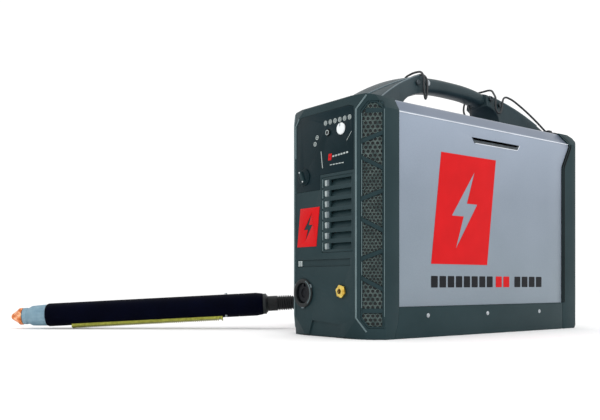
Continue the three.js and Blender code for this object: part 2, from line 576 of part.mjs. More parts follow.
// The lead's free stretches, from the gland to the coil and from the coil's top to the torch.
const LEAD_START = [LEAD_EXIT, [-165, 197.5, 59], [-192, 192, 52], [-216, 181, 41], [-238, 164, 28.5], [-256, 142, 17.5],
  [-269, 117, 10], [-277.5, 90, 7], [-281.5, 62, 6.5], [-283.3, 36, 6.5], [-283.5, 14, 6.5]];
const LEAD_END = [[-247, -8, 31.5], [-240, -20, 33.5], [-230, -31, 37], [-217, -40, 41.5], [-201, -46.5, 43.9],
  [-183, -53.5, 44.3], [-168, -66, 44.2], [-158.5, -82.5, 43.4], [-155, -101, 42.2], [-157, -118, 41.3],
  [-161.6, -128.9, 40.8], [-165.8, -134.8, 40.4]];

function makeLead() {
  const rubber = () => finish(0x14171a, 0.65);
  const wall = HALF_WIDTH - WALL;
  const gland = [[0, 0], [13, 0], [13, 4.6], [10, 4.6], [10, 9], [13, 9], [13, 15], [11.4, 16], [0, 16]];
  const relief = [[0, 0], [11, 0], [11, 6], [8.4, 45.5], [0, 45.5]];
  piece('lead_gland', turned(gland, [-wall + 5, ...LEAD_HOLE], [-1, 0, 0], 24), blackPlastic());
  piece('lead_strain_relief', turned(relief, [-94.4, ...LEAD_HOLE], [-1, 0, 0], 20), rubber());
  const section = [[COIL_INNER, 0], [COIL_OUTER, 0], [COIL_OUTER, 13], [COIL_OUTER - 6.5, 19], [COIL_OUTER - 6.5, COIL_HEIGHT],
    [COIL_INNER + 6.5, COIL_HEIGHT], [COIL_INNER + 6.5, 19], [COIL_INNER, 13], [COIL_INNER, 0]];
  const clear = [[COIL_INNER - GAP, -1], [COIL_OUTER + GAP, -1], [COIL_OUTER + GAP, COIL_HEIGHT + GAP],
    [COIL_INNER - GAP, COIL_HEIGHT + GAP], [COIL_INNER - GAP, -1]];
  const around = turned(clear, [...COIL_CENTRE, 0], [0, 0, 1], 36);
  piece('lead_coil', turned(section, [...COIL_CENTRE, 0], [0, 0, 1], 36), rubber());
  piece('lead_to_coil', largest(tube(LEAD_START, LEAD_RADIUS, 18, 10).subtract(around)), rubber());
  piece('lead_to_torch', largest(tube(LEAD_END, LEAD_RADIUS, 20, 10).subtract(around)), rubber());
}

// ---------------------------------------------------------------- assembly
piece('base_tray', makeTray(), darkPlastic());
piece('front_bezel', makeFrontBezel(), darkPlastic());
piece('rear_bezel', makeRearBezel(), darkPlastic());
piece('wrap_cover', makeCover(), silverPaint());
const vent = onCorner(ventOutline(0), -3.4, -1.4);
piece('vent_strip_right', vent, finish(0x4a5248, 0.6));
piece('vent_strip_left', mirrored(vent), finish(0x4a5248, 0.6));
makeHandle();
piece('front_tie', tube(FRONT_TIE, 1.5, 34, 8), blackPlastic());
piece('rear_tie', tube(REAR_TIE, 1.5, 56, 8), blackPlastic());
piece('tie_anchor', block(47, 59, 185, 195, BODY_TOP + GAP, BODY_TOP + 7), blackPlastic());
makeFrontPanel();
makeRearPanel();
makeInnerPieces();
makeTorch();
makeLead();

export default unit;
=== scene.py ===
import math

import bmesh
import bpy
from mathutils import Matrix, Vector


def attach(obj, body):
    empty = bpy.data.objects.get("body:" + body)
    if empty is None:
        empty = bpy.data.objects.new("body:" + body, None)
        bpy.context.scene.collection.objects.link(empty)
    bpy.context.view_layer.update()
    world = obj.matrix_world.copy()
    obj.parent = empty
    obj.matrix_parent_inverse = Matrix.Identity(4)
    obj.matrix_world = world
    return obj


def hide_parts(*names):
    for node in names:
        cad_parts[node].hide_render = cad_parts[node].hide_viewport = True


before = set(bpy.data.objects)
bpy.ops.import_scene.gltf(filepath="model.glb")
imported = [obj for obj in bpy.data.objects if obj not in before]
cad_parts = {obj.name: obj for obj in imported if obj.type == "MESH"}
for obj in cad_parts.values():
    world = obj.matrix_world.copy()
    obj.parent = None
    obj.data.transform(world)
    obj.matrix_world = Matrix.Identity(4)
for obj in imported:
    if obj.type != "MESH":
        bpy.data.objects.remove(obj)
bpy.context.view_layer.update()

MM = 0.001
PROUD = 0.25  # how far a printed mark stands off its panel
FRONTWARD = (0, -1, 0)
REARWARD = (0, 1, 0)

# ------------------------------------------------------------------ driving dimensions
HALF_WIDTH = 86.5
PANEL_Y = -221.0
REAR_Y = 221.0
BODY_TOP = 301.0
CORNER = 25.2
GAP = 0.35
TRAY_TOP = 39.3
FRONT_SEAM = -172.3
COVER_HALF = 85.0
SHEET = 1.6
GRIP_TOP = 364.5
FRONT_GRIP_SEAM = -52.0
REAR_GRIP_SEAM = 84.0
ARCH_MIDDLE = 17.0
FAN_Z = 165.0

KNOB = (34.5, 262.0)
MODE = (-40.0, 209.0)
BUTTON = (8.5, 261.0)
SOCKET = (-42.0, 56.0)
STUD = (34.5, 58.8)
LAMP_Z = 274.0
LAMPS = [3.5 + 9.2 * place for place in range(6)]
LOUVRE_ROWS = [197.0 - 13.5 * row for row in range(7)]

TORCH_TIP = Vector((-435.0, -478.0, 17.8))
TORCH_TURN = Matrix.Rotation(math.radians(51.9), 4, "Z") @ Matrix.Rotation(math.radians(-2.96), 4, "Y")
TORCH_AXIS = (TORCH_TURN @ Vector((1, 0, 0))).normalized()
SLEEVE_RADIUS = 17.5

LEAD_RADIUS = 6.5
LEAD_EXIT = (-140.3, 198, 60)
COIL_CENTRE = (-192, 14)


# ------------------------------------------------------------------ material helpers
def tone(code):
    """A hexadecimal screen colour as linear RGBA."""
    parts = [int(code[k:k + 2], 16) / 255 for k in (1, 3, 5)]
    return [p / 12.92 if p <= 0.04045 else ((p + 0.055) / 1.055) ** 2.4 for p in parts] + [1.0]


def add(tree, kind, **values):
    """A shader node whose inputs are set, or linked, by name."""
    made = tree.nodes.new(kind)
    for key, value in values.items():
        socket = made.inputs[key.replace("_", " ")]
        if isinstance(value, bpy.types.NodeSocket):
            tree.links.new(value, socket)
        else:
            socket.default_value = value
    return made


def blank(name):
    """A new material, its node tree and its main shader."""
    material = bpy.data.materials.new(name)
    material.use_nodes = True
    tree = material.node_tree
    return material, tree, tree.nodes["Principled BSDF"]


def noise(tree, size_mm, detail=3.0):
    """A noise whose features measure about size_mm, in the row frame."""
    spot = add(tree, "ShaderNodeTexCoord").outputs["Object"]
    place = add(tree, "ShaderNodeMapping", Vector=spot)
    made = add(tree, "ShaderNodeTexNoise", Vector=place.outputs[0], Scale=1000.0 / size_mm, Detail=detail)
    return made.outputs[0]


def ramp(tree, factor, stops):
    """A colour that runs through (position, colour) stops."""
    made = add(tree, "ShaderNodeValToRGB", Fac=factor)
    elements = made.color_ramp.elements
    while len(elements) < len(stops):
        elements.new(0.5)
    for element, (place, colour) in zip(elements, stops):
        element.position = place
        element.color = colour
    return made.outputs[0]


def grey(value):
    return [value, value, value, 1.0]


def bump(tree, bsdf, height, depth_mm):
    made = add(tree, "ShaderNodeBump", Height=height, Distance=depth_mm * MM, Strength=1.0)
    tree.links.new(made.outputs[0], bsdf.inputs["Normal"])


def two_tone(name, dark, light, rough, drift_mm, grain_mm, grain_depth, metallic=0.0, shine=0.5):
    """The common build: a slow drift between two tones, a roughness that varies, and a fine grain."""
    material, tree, bsdf = blank(name)
    slow = noise(tree, drift_mm)
    fine = noise(tree, grain_mm, 2.0)
    tree.links.new(ramp(tree, slow, [(0.3, tone(dark)), (0.7, tone(light))]), bsdf.inputs["Base Color"])
    low, high = rough
    tree.links.new(ramp(tree, fine, [(0.3, grey(low)), (0.7, grey(high))]), bsdf.inputs["Roughness"])
    bump(tree, bsdf, fine, grain_depth)
    bsdf.inputs["Metallic"].default_value = metallic
    bsdf.inputs["Specular IOR Level"].default_value = shine
    return material


# ------------------------------------------------------------------ materials
def bezel_plastic():
    """Glass filled nylon, dark green-grey, with a spark eroded pebble grain."""
    return two_tone("bezel_plastic", "#1b2f33", "#24373b", (0.42, 0.58), 70, 0.9, 0.05, shine=0.15)


def grip_plastic():
    return two_tone("grip_plastic", "#1d2f34", "#283a40", (0.36, 0.50), 50, 0.7, 0.06, shine=0.3)


def rib_painted_highlight():
    """The handle's ribs, in a lighter tone that is a painted highlight along the ridge lines."""
    return two_tone("rib_painted_highlight", "#43545b", "#52646c", (0.30, 0.42), 30, 0.7, 0.03)


def black_plastic():
    return two_tone("black_plastic", "#0f1416", "#181f21", (0.40, 0.55), 30, 0.7, 0.04, shine=0.3)


# Painted shadow: near-black for the strip along the cover's rear joint.
def painted_seam_shadow():
    return two_tone("painted_seam_shadow", "#05090b", "#0b1113", (0.5, 0.62), 30, 0.7, 0.02, shine=0.1)


def panel_film():
    """The printed control film: smoother than the moulding around it."""
    return two_tone("panel_film", "#0c1f24", "#12252b", (0.34, 0.44), 40, 1.6, 0.01, shine=0.1)


def mixed(tree, first, second, share):
    """Two colours blended by a fixed share of the second."""
    blend = tree.nodes.new("ShaderNodeMix")
    blend.data_type = "RGBA"
    blend.inputs[0].default_value = share
    tree.links.new(first, blend.inputs[6])
    tree.links.new(second, blend.inputs[7])
    return blend.outputs[2]


def cover_paint():
    """Silver powder coat over fine metallic flake, with painted shade by height: darker towards the bottom,
    lightest just under the upper bend, and a dark painted shade on the strip above that bend.
    """
    material, tree, bsdf = blank("cover_paint")
    flake = noise(tree, 1.1, 4.0)
    cloud = noise(tree, 85, 2.0)
    base = ramp(tree, flake, [(0.25, tone("#727e8c")), (0.5, tone("#848f9c")), (0.75, tone("#9ea9b5"))])
    patches = ramp(tree, cloud, [(0.3, tone("#75828f")), (0.7, tone("#8d98a8"))])
    spot = add(tree, "ShaderNodeTexCoord").outputs["Object"]
    height = add(tree, "ShaderNodeSeparateXYZ", Vector=spot).outputs["Z"]
    # painted shade by height: the side darkens towards the bottom, and the strip above the upper bend is
    # painted darker
    stops = [(0.06, tone("#78868e")), (0.19, tone("#7f8b99")), (0.2825, tone("#9aa6b8")),
             (0.2845, tone("#596275"))]
    drift = ramp(tree, height, stops)
    paint = mixed(tree, mixed(tree, base, patches, 0.5), drift, 0.6)
    tree.links.new(paint, bsdf.inputs["Base Color"])
    tree.links.new(ramp(tree, flake, [(0.3, grey(0.36)), (0.7, grey(0.48))]), bsdf.inputs["Roughness"])
    bump(tree, bsdf, noise(tree, 2.4, 2.0), 0.03)
    bsdf.inputs["Metallic"].default_value = 0.35
    bsdf.inputs["Coat Weight"].default_value = 0.2
    bsdf.inputs["Coat Roughness"].default_value = 0.25
    return material


def painted_bend_highlight():
    """A light colour painted on as a highlight along the cover's upper bend and the slots' lower edges."""
    return two_tone("painted_bend_highlight", "#ccd2da", "#e2e7ee", (0.3, 0.42), 30, 0.8, 0.01)


def dark_steel():
    return two_tone("dark_steel", "#343b40", "#4d555a", (0.30, 0.45), 5, 0.5, 0.02, 0.7)


def vent_mesh():
    return two_tone("vent_mesh", "#4c5c5c", "#73827f", (0.38, 0.55), 9, 0.6, 0.05, 0.1, shine=0.3)


# Painted highlight: the light lines along edges of the vents, the front panel, the louvres and the socket's
# rim.
def painted_edge_highlight():
    return two_tone("painted_edge_highlight", "#52666a", "#637679", (0.30, 0.42), 25, 0.8, 0.03)


def red_print():
    return two_tone("red_print", "#c2060d", "#cc0a11", (0.40, 0.50), 35, 1.2, 0.01, shine=0.12)


def dark_print():
    return two_tone("dark_print", "#0b0e13", "#12161c", (0.40, 0.50), 20, 1.2, 0.01, shine=0.15)


def white_print():
    return two_tone("white_print", "#c9cfd0", "#dbe0e1", (0.40, 0.50), 12, 0.8, 0.01)


def grey_print():
    """The small marks of the control film."""
    return two_tone("grey_print", "#9aa5a4", "#b4bdbb", (0.40, 0.50), 9, 0.8, 0.01, shine=0.3)


def lamp_lens():
    material = two_tone("lamp_lens", "#909b98", "#aab4b1", (0.18, 0.28), 3, 0.5, 0.01)
    material.node_tree.nodes["Principled BSDF"].inputs["Coat Weight"].default_value = 0.6
    return material


def white_knob():
    return two_tone("white_knob", "#dfe5e8", "#eef3f5", (0.32, 0.42), 8, 0.6, 0.02)


def grey_plastic():
    return two_tone("grey_plastic", "#8f9a9b", "#a9b4b4", (0.38, 0.5), 9, 0.6, 0.03)


def button_grey():
    return two_tone("button_grey", "#525e63", "#637076", (0.40, 0.52), 6, 0.5, 0.03)


def rocker_red():
    return two_tone("rocker_red", "#a01215", "#b31a1b", (0.25, 0.34), 12, 0.6, 0.01, shine=0.35)


def brass():
    """Turned brass, a little tarnished."""
    return two_tone("brass", "#bf9636", "#e8d070", (0.22, 0.40), 6, 0.5, 0.02, 0.85)


def rack_brass():
    """The drawn rack: greener, with streaks along its length."""
    material, tree, bsdf = blank("rack_brass")
    streak = noise(tree, 3.0, 4.0)
    stops = [(0.25, tone("#696b22")), (0.55, tone("#98993c")), (0.8, tone("#c4c468"))]
    tree.links.new(ramp(tree, streak, stops), bsdf.inputs["Base Color"])
    tree.links.new(ramp(tree, streak, [(0.3, grey(0.3)), (0.7, grey(0.5))]), bsdf.inputs["Roughness"])
    bump(tree, bsdf, streak, 0.03)
    bsdf.inputs["Metallic"].default_value = 0.65
    return material


def zinc_steel():
    return two_tone("zinc_steel", "#9aa1a6", "#c3c9cd", (0.25, 0.42), 5, 0.5, 0.02, 0.9)


def aluminium():
    return two_tone("aluminium", "#a4abb0", "#c2c8cc", (0.30, 0.46), 14, 0.6, 0.03, 0.9)


def torch_copper():
    """Copper nozzle: orange, with random darker patches, and near-white patches that are painted highlights.
    """
    material, tree, bsdf = blank("torch_copper")
    glint_patches = noise(tree, 7, 4.0)
    # the near-white stop is a painted highlight
    stops = [(0.25, tone("#97461f")), (0.48, tone("#dc8049")), (0.72, tone("#ffcfa6"))]
    tree.links.new(ramp(tree, glint_patches, stops), bsdf.inputs["Base Color"])
    tree.links.new(ramp(tree, glint_patches, [(0.3, grey(0.18)), (0.7, grey(0.32))]), bsdf.inputs["Roughness"])
    bump(tree, bsdf, noise(tree, 0.6, 2.0), 0.02)
    bsdf.inputs["Metallic"].default_value = 0.78
    return material


def torch_cap():
    return two_tone("torch_cap", "#67889a", "#7d9cab", (0.42, 0.55), 10, 0.6, 0.03)


def torch_sleeve():
    """Near-black anodised sleeve with a blue cast."""
    return two_tone("torch_sleeve", "#00010c", "#010314", (0.5, 0.62), 30, 0.5, 0.02, shine=0.03)


def rubber():
    return two_tone("rubber", "#0c0f11", "#16191c", (0.50, 0.68), 15, 0.5, 0.05, shine=0.3)


def wire_coat():
    return two_tone("wire_coat", "#14181b", "#20262a", (0.35, 0.5), 9, 0.5, 0.02)


def circuit_board():
    """Green solder mask with a fine pattern of copper tracks under it."""
    material, tree, bsdf = blank("circuit_board")
    spot = add(tree, "ShaderNodeTexCoord").outputs["Object"]
    tracks = add(tree, "ShaderNodeTexVoronoi", Vector=spot, Scale=220.0)
    tracks.distance = "MANHATTAN"
    stops = [(0.2, tone("#2f7a4a")), (0.3, tone("#1b5233")), (0.9, tone("#174a2d"))]
    tree.links.new(ramp(tree, tracks.outputs["Distance"], stops), bsdf.inputs["Base Color"])
    bump(tree, bsdf, tracks.outputs["Distance"], 0.04)
    bsdf.inputs["Roughness"].default_value = 0.4
    return material


def capacitor_sleeve():
    return two_tone("capacitor_sleeve", "#23427a", "#2f5599", (0.25, 0.36), 12, 1.0, 0.01)


def ferrite():
    return two_tone("ferrite", "#37332f", "#4a4540", (0.6, 0.8), 8, 0.8, 0.1)


def copper_winding():
    """Enamelled wire laid side by side."""
    material, tree, bsdf = blank("copper_winding")
    spot = add(tree, "ShaderNodeTexCoord").outputs["Object"]
    wires = add(tree, "ShaderNodeTexWave", Vector=spot, Scale=180.0, Distortion=0.4)
    wires.bands_direction = "Y"
    stops = [(0.1, tone("#6e3317")), (0.6, tone("#b96c34"))]
    tree.links.new(ramp(tree, wires.outputs["Fac"], stops), bsdf.inputs["Base Color"])
    bump(tree, bsdf, wires.outputs["Fac"], 0.4)
    bsdf.inputs["Roughness"].default_value = 0.35
    bsdf.inputs["Metallic"].default_value = 0.6
    return material


BUILDERS = [bezel_plastic, grip_plastic, rib_painted_highlight, black_plastic, panel_film, cover_paint, painted_bend_highlight,
            dark_steel, vent_mesh, painted_edge_highlight, red_print, dark_print, white_print, grey_print, painted_seam_shadow,
            lamp_lens, white_knob, grey_plastic, button_grey, rocker_red, brass, rack_brass, zinc_steel,
            aluminium, torch_copper, torch_cap, torch_sleeve, rubber, wire_coat, circuit_board,
            capacitor_sleeve, ferrite, copper_winding]
MATERIALS = {builder.__name__: builder() for builder in BUILDERS}


# ------------------------------------------------------------------ shape helpers, in millimetres
def eased(points, radius, closed=True, steps=3):
    """An outline with each corner eased by a short curve."""
    flat = [Vector(point) for point in points]
    out = []
    for place, corner in enumerate(flat):
        if not closed and place in (0, len(flat) - 1):
            out.append(tuple(corner))
            continue
        before = flat[place - 1] - corner
        after = flat[(place + 1) % len(flat)] - corner
        start = corner + before * min(radius / before.length, 0.45)
        end = corner + after * min(radius / after.length, 0.45)
        for step in range(steps + 1):
            t = step / steps
            out.append(tuple(start * (1 - t) ** 2 + corner * 2 * t * (1 - t) + end * t * t))
    return out


def box_outline(u0, v0, u1, v1, radius=0.0, steps=3):
    corners = [(u0, v0), (u1, v0), (u1, v1), (u0, v1)]
    return eased(corners, radius, True, steps) if radius else corners


def slab(outline, axis, low, high):
    """A closed prism. The outline is in the two other axes, in x, y, z order."""
    place = {
        "x": lambda u, v, h: (h, u, v),
        "y": lambda u, v, h: (u, h, v),
        "z": lambda u, v, h: (u, v, h),
    }[axis]
    count = len(outline)
    verts = [place(u, v, level) for level in (low, high) for u, v in outline]
    sides = [[k, (k + 1) % count, count + (k + 1) % count, count + k] for k in range(count)]
    return verts, [list(range(count)), list(range(count, 2 * count))] + sides


def loft(rings, capped=True):
    """A skin over rings that all have the same number of points."""
    count = len(rings[0])
    verts = [point for ring in rings for point in ring]
    faces = []
    for level in range(len(rings) - 1):
        low, high = level * count, (level + 1) * count
        faces += [[low + k, low + (k + 1) % count, high + (k + 1) % count, high + k] for k in range(count)]
    if capped:
        faces += [list(range(count)), list(range(len(verts) - count, len(verts)))]
    return verts, faces


def lathe(profile, base, axis, sides=64):
    """A turned surface: (radius, height) pairs that start and end on the axis, or close on themselves."""
    along = Vector(axis).normalized()
    across = along.orthogonal().normalized()
    third = along.cross(across)
    verts, rings = [], []
    for radius, height in profile:
        centre = Vector(base) + along * height
        if radius < 1e-6:
            rings.append([len(verts)] * sides)
            verts.append(centre)
            continue
        rings.append(list(range(len(verts), len(verts) + sides)))
        for k in range(sides):
            turn = math.tau * k / sides
            verts.append(centre + radius * (across * math.cos(turn) + third * math.sin(turn)))
    faces = []
    for low, high in zip(rings, rings[1:]):
        for k in range(sides):
            after = (k + 1) % sides
            face = list(dict.fromkeys([low[k], low[after], high[after], high[k]]))
            if len(face) > 2:
                faces.append(face)
    return verts, faces


def smooth_path(points, steps):
    """Points along a Catmull-Rom curve through the given ones."""
    spots = [Vector(point) for point in points]
    count = len(spots)
    out = []
    for k in range(count - 1):
        p1, p2 = spots[k], spots[k + 1]
        p0 = spots[k - 1] if k else p1 * 2 - p2
        p3 = spots[k + 2] if k + 2 < count else p2 * 2 - p1
        for step in range(steps):
            t = step / steps
            out.append(0.5 * (2 * p1 + (p2 - p0) * t + (2 * p0 - 5 * p1 + 4 * p2 - p3) * t * t
                              + (3 * p1 - p0 - 3 * p2 + p3) * t ** 3))
    return out + [spots[-1]]


def pipe(path, radius, sides):
    """A round tube along a path, with a frame that is carried along it."""
    last = len(path) - 1
    turns = [math.tau * step / sides for step in range(sides)]
    rings = []
    side = None
    for k, spot in enumerate(path):
        ahead = path[min(k + 1, last)]
        behind = path[max(k - 1, 0)]
        tangent = (ahead - behind).normalized()
        side = tangent.orthogonal() if side is None else side - tangent * side.dot(tangent)
        side.normalize()
        other = tangent.cross(side)
        rings.append([spot + radius * (side * math.cos(a) + other * math.sin(a)) for a in turns])
    return loft(rings)


def together(*parts):
    """Several parts as one."""
    verts, faces = [], []
    for part_verts, part_faces in parts:
        faces += [[index + len(verts) for index in face] for face in part_faces]
        verts += list(part_verts)
    return verts, faces


def moved(part, matrix):
    verts, faces = part
    return [matrix @ Vector(v) for v in verts], faces


def on_corner(part, side):
    """From (along the slanted corner face, height above it, z) to the row frame, on the +X or -X corner."""
    root = math.sqrt(0.5)
    start = HALF_WIDTH - CORNER
    verts, faces = part
    return [(side * (start + (s + h) * root), PANEL_Y + (s - h) * root, z) for s, h, z in verts], faces


def on_torch(part):
    """From the torch's own frame, whose X runs from the nozzle's tip to the boot."""
    verts, faces = part
    return [TORCH_TIP + TORCH_TURN.to_3x3() @ Vector(v) for v in verts], faces


# ------------------------------------------------------------------ making pieces
def settle(obj):
    """Applies the modifiers."""
    bpy.context.view_layer.update()
    graph = bpy.context.evaluated_depsgraph_get()
    final = bpy.data.meshes.new_from_object(obj.evaluated_get(graph), depsgraph=graph)
    obj.modifiers.clear()
    obj.data = final


def bevel(obj, width, segments, angle):
    made = obj.modifiers.new("bevel", "BEVEL")
    made.width = width * MM
    made.segments = segments
    made.limit_method = "ANGLE"
    made.angle_limit = math.radians(angle)
    made.miter_outer = "MITER_ARC"
    made.use_clamp_overlap = True
    settle(obj)


def shade(obj, angle):
    mesh = obj.data
    mesh.polygons.foreach_set("use_smooth", [True] * len(mesh.polygons))
    mesh.set_sharp_from_angle(angle=math.radians(angle))
    mesh.update()


def install(obj, material, body, replaced):
    """Gives a piece its material and the body it rides on, and the CAD nodes it stands for."""
    obj.data.materials.clear()
    obj.data.materials.append(MATERIALS[material])
    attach(obj, body)
    if replaced:
        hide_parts(*replaced)
    return obj


def publish(name, part, material, body="root", replaced=(), rounding=0.0, segments=2, angle=35):
    """A piece from vertices and faces in millimetres, with its edges rounded."""
    verts, faces = part
    mesh = bpy.data.meshes.new(name)
    mesh.from_pydata([Vector(v) * MM for v in verts], [], faces)
    shape = bmesh.new()
    shape.from_mesh(mesh)
    bmesh.ops.remove_doubles(shape, verts=shape.verts, dist=1e-6)
    bmesh.ops.recalc_face_normals(shape, faces=shape.faces)
    shape.to_mesh(mesh)
    shape.free()
    obj = bpy.data.objects.new(name, mesh)
    bpy.context.scene.collection.objects.link(obj)
    if rounding:
        bevel(obj, rounding, segments, angle)
    shade(obj, angle)
    return install(obj, material, body, replaced)


def moulded(node, name, material, width, body="root"):
    """A copy of a CAD node whose edges are rounded, shown in its place."""
    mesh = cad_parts[node].data.copy()
    shape = bmesh.new()
    shape.from_mesh(mesh)
    bmesh.ops.remove_doubles(shape, verts=shape.verts, dist=2e-6)
    bmesh.ops.dissolve_limit(shape, angle_limit=math.radians(1.0), verts=shape.verts, edges=shape.edges)
    shape.to_mesh(mesh)
    shape.free()
    obj = bpy.data.objects.new(name, mesh)
    bpy.context.scene.collection.objects.link(obj)
    bevel(obj, width, 3, 20)
    shade(obj, 38)
    return install(obj, material, body, [node])


def dress(node, material):
    """A material on a CAD node that is shown as it is."""
    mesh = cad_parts[node].data
    mesh.materials.clear()
    mesh.materials.append(MATERIALS[material])


# ------------------------------------------------------------------ camera, light and floor
def make_camera():
    camera = bpy.data.cameras.new("camera")
    camera.sensor_width = 36
    camera.lens = 45.26
    camera.shift_y = 0.1225
    holder = bpy.data.objects.new("camera", camera)
    holder.location = (0.7433, -0.8430, 0.0687)
    holder.rotation_euler = (math.pi / 2, 0, math.radians(51.9))
    bpy.context.scene.collection.objects.link(holder)
    bpy.context.scene.camera = holder


def make_floor():
    half = 12  # metres
    corners = [(-half, -half, 0), (half, -half, 0), (half, half, 0), (-half, half, 0)]
    mesh = bpy.data.meshes.new("floor")
    mesh.from_pydata(corners, [], [(0, 1, 2, 3)])
    floor = bpy.data.objects.new("floor", mesh)
    bpy.context.scene.collection.objects.link(floor)
    material, _, bsdf = blank("floor")
    bsdf.inputs["Base Color"].default_value = grey(0.95)
    bsdf.inputs["Roughness"].default_value = 1.0
    bsdf.inputs["Specular IOR Level"].default_value = 0.0
    mesh.materials.append(material)


def make_light(name, place, target, size, power):
    light = bpy.data.lights.new(name, "AREA")
    light.shape = "DISK"
    light.size = size
    light.energy = power
    holder = bpy.data.objects.new(name, light)
    holder.location = place
    holder.rotation_euler = (Vector(target) - Vector(place)).to_track_quat("-Z", "Y").to_euler()
    bpy.context.scene.collection.objects.link(holder)


def make_studio():
    world = bpy.data.worlds.new("studio")
    world.use_nodes = True
    background = world.node_tree.nodes["Background"]
    background.inputs["Color"].default_value = (1, 1, 1, 1)
    background.inputs["Strength"].default_value = 1.08
    bpy.context.scene.world = world
    bpy.context.scene.view_settings.view_transform = "Standard"
    make_floor()
    make_light("key", (1.6, -0.6, 1.5), (0, 0, 0.15), 1.2, 8)
    make_light("top", (-0.2, 0.1, 2.1), (0, 0, 0.3), 1.4, 6)


# ------------------------------------------------------------------ the torch lead
LEAD_START = [LEAD_EXIT, (-165, 197.5, 59), (-192, 192, 52), (-216, 181, 41), (-238, 164, 28.5),
              (-256, 142, 17.5), (-269, 117, 10), (-277.5, 90, 7), (-281.5, 62, 6.5), (-283.3, 36, 6.5)]
LEAD_END = [(-247, -8, 31.5), (-240, -20, 33.5), (-230, -31, 37), (-217, -40, 41.5), (-201, -46.5, 43.9),
            (-183, -53.5, 44.3), (-168, -66, 44.2), (-158.5, -82.5, 43.4), (-155, -101, 42.2),
            (-157, -118, 41.3), (-161.6, -128.9, 40.8), (-165.8, -134.8, 40.4)]
COIL_SLOTS = [(91.5, 6.5), (78.5, 6.5), (65.5, 6.5), (52.5, 6.5), (59, 17.8), (72, 17.8), (85, 17.8),
              (85, 30.8), (72, 30.8), (59, 30.8)]


def eased_step(share):
    """0 to 1 with a gentle start and end."""
    share = min(max(share, 0), 1)
    return share * share * (3 - 2 * share)


def coil_path():
    """One turn in each slot, counter-clockwise from above, moving to the next slot over its second half."""
    steps = 48
    lead_in = 2  # steps of the last slot before the lead leaves it
    path = []
    for turn, (radius, height) in enumerate(COIL_SLOTS):
        last = turn == len(COIL_SLOTS) - 1
        next_radius, next_height = COIL_SLOTS[turn if last else turn + 1]
        for step in range(lead_in if last else steps):
            around = step / steps
            share = 2 * around - 1
            phi = math.pi + math.tau * around
            r = radius + (next_radius - radius) * eased_step(share)
            z = height + (next_height - height) * eased_step(share * 1.6)
            path.append(Vector((COIL_CENTRE[0] + r * math.cos(phi), COIL_CENTRE[1] + r * math.sin(phi), z)))
    return path


def make_lead(torch_pieces):
    """One cord from the gland through the coil to the torch, whose last stretch runs on inside the torch."""
    inside = [TORCH_TIP + TORCH_AXIS * station for station in (400, 340, 280, 210, 120)]
    path = smooth_path(LEAD_START, 5) + coil_path() + smooth_path(LEAD_END, 5) + inside
    curve = bpy.data.curves.new("torch_lead", "CURVE")
    curve.dimensions = "3D"
    curve.bevel_depth = LEAD_RADIUS * MM
    curve.bevel_resolution = 4
    curve.use_fill_caps = True
    spline = curve.splines.new("POLY")
    spline.points.add(len(path) - 1)
    for point, spot in zip(spline.points, path):
        point.co = (*(spot * MM), 1)
    lead = bpy.data.objects.new("torch_lead", curve)
    bpy.context.scene.collection.objects.link(lead)
    curve.materials.append(MATERIALS["rubber"])
    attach(lead, "root")
    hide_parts("lead_to_coil", "lead_coil", "lead_to_torch")


# ------------------------------------------------------------------ printed marks and badges
def flat_shape(outlines, thickness):
    """A thin plate in (u, v) from closed outlines. An outline inside another one is a hole."""
    curve = bpy.data.curves.new("flat", "CURVE")
    curve.dimensions = "2D"
    curve.fill_mode = "BOTH"
    curve.extrude = thickness / 2
    for outline in outlines:
        spline = curve.splines.new("POLY")
        spline.points.add(len(outline) - 1)
        spline.use_cyclic_u = True
        for point, (u, v) in zip(spline.points, outline):
            point.co = (u, v, 0, 1)
    holder = bpy.data.objects.new("flat", curve)
    bpy.context.scene.collection.objects.link(holder)
    bpy.context.view_layer.update()
    mesh = bpy.data.meshes.new_from_object(holder.evaluated_get(bpy.context.evaluated_depsgraph_get()))
    part = [tuple(v.co) for v in mesh.vertices], [list(p.vertices) for p in mesh.polygons]
    bpy.data.objects.remove(holder)
    bpy.data.curves.remove(curve)
    bpy.data.meshes.remove(mesh)
    return part


def on_panel(part, height):
    """From (x, z, out of the panel) to the front panel."""
    verts, faces = part
    return [(u, PANEL_Y - height - h, v) for u, v, h in verts], faces


def on_side(part, side, height):
    """From (y, z, out of the cover) to the cover's flat side."""
    verts, faces = part
    return [(side * (COVER_HALF + height + h), u, v) for u, v, h in verts], faces


def circle(u, v, radius, sides=40):
    turns = [math.tau * k / sides for k in range(sides)]
    return [(u + radius * math.cos(a), v + radius * math.sin(a)) for a in turns]


def stroke(u0, v0, u1, v1, width):
    """A thin straight mark."""
    along = Vector((u1 - u0, v1 - v0)).normalized() * width / 2
    across = Vector((-along.y, along.x))
    start, end = Vector((u0, v0)), Vector((u1, v1))
    return [tuple(p) for p in (start - across, end - across, end + across, start + across)]


def emblem(u0, v0, u1, v1):
    """A generic power mark: a slanted plate with a lightning bolt cut out of its middle."""
    width, height = u1 - u0, v1 - v0
    lean = 0.145 * width

    def spot(u, v):
        return u0 + u * (width - lean) + lean * v, v0 + v * height

    plate = [(0, 0), (1, 0), (1, 1), (0, 1)]
    bolt = [(0.40, 0.14), (0.72, 0.56), (0.53, 0.56), (0.62, 0.86), (0.28, 0.44), (0.49, 0.44)]
    return [[spot(u, v) for u, v in loop] for loop in (plate, bolt)]


def make_side_print(side, word):
    """The large mark, and below it a row of plain dashes in place of lettering."""
    red = flat_shape(emblem(-113, 94, 19.5, 240) + dashes(19.5, 53.5, 2), PROUD)
    dark = flat_shape(dashes(-113, 16, 8) + dashes(62, 131, 4), PROUD)
    lift = PROUD / 2
    publish(f"side_mark_{word}", on_side(red, side, lift), "red_print")
    publish(f"side_dashes_{word}", on_side(dark, side, lift), "dark_print")


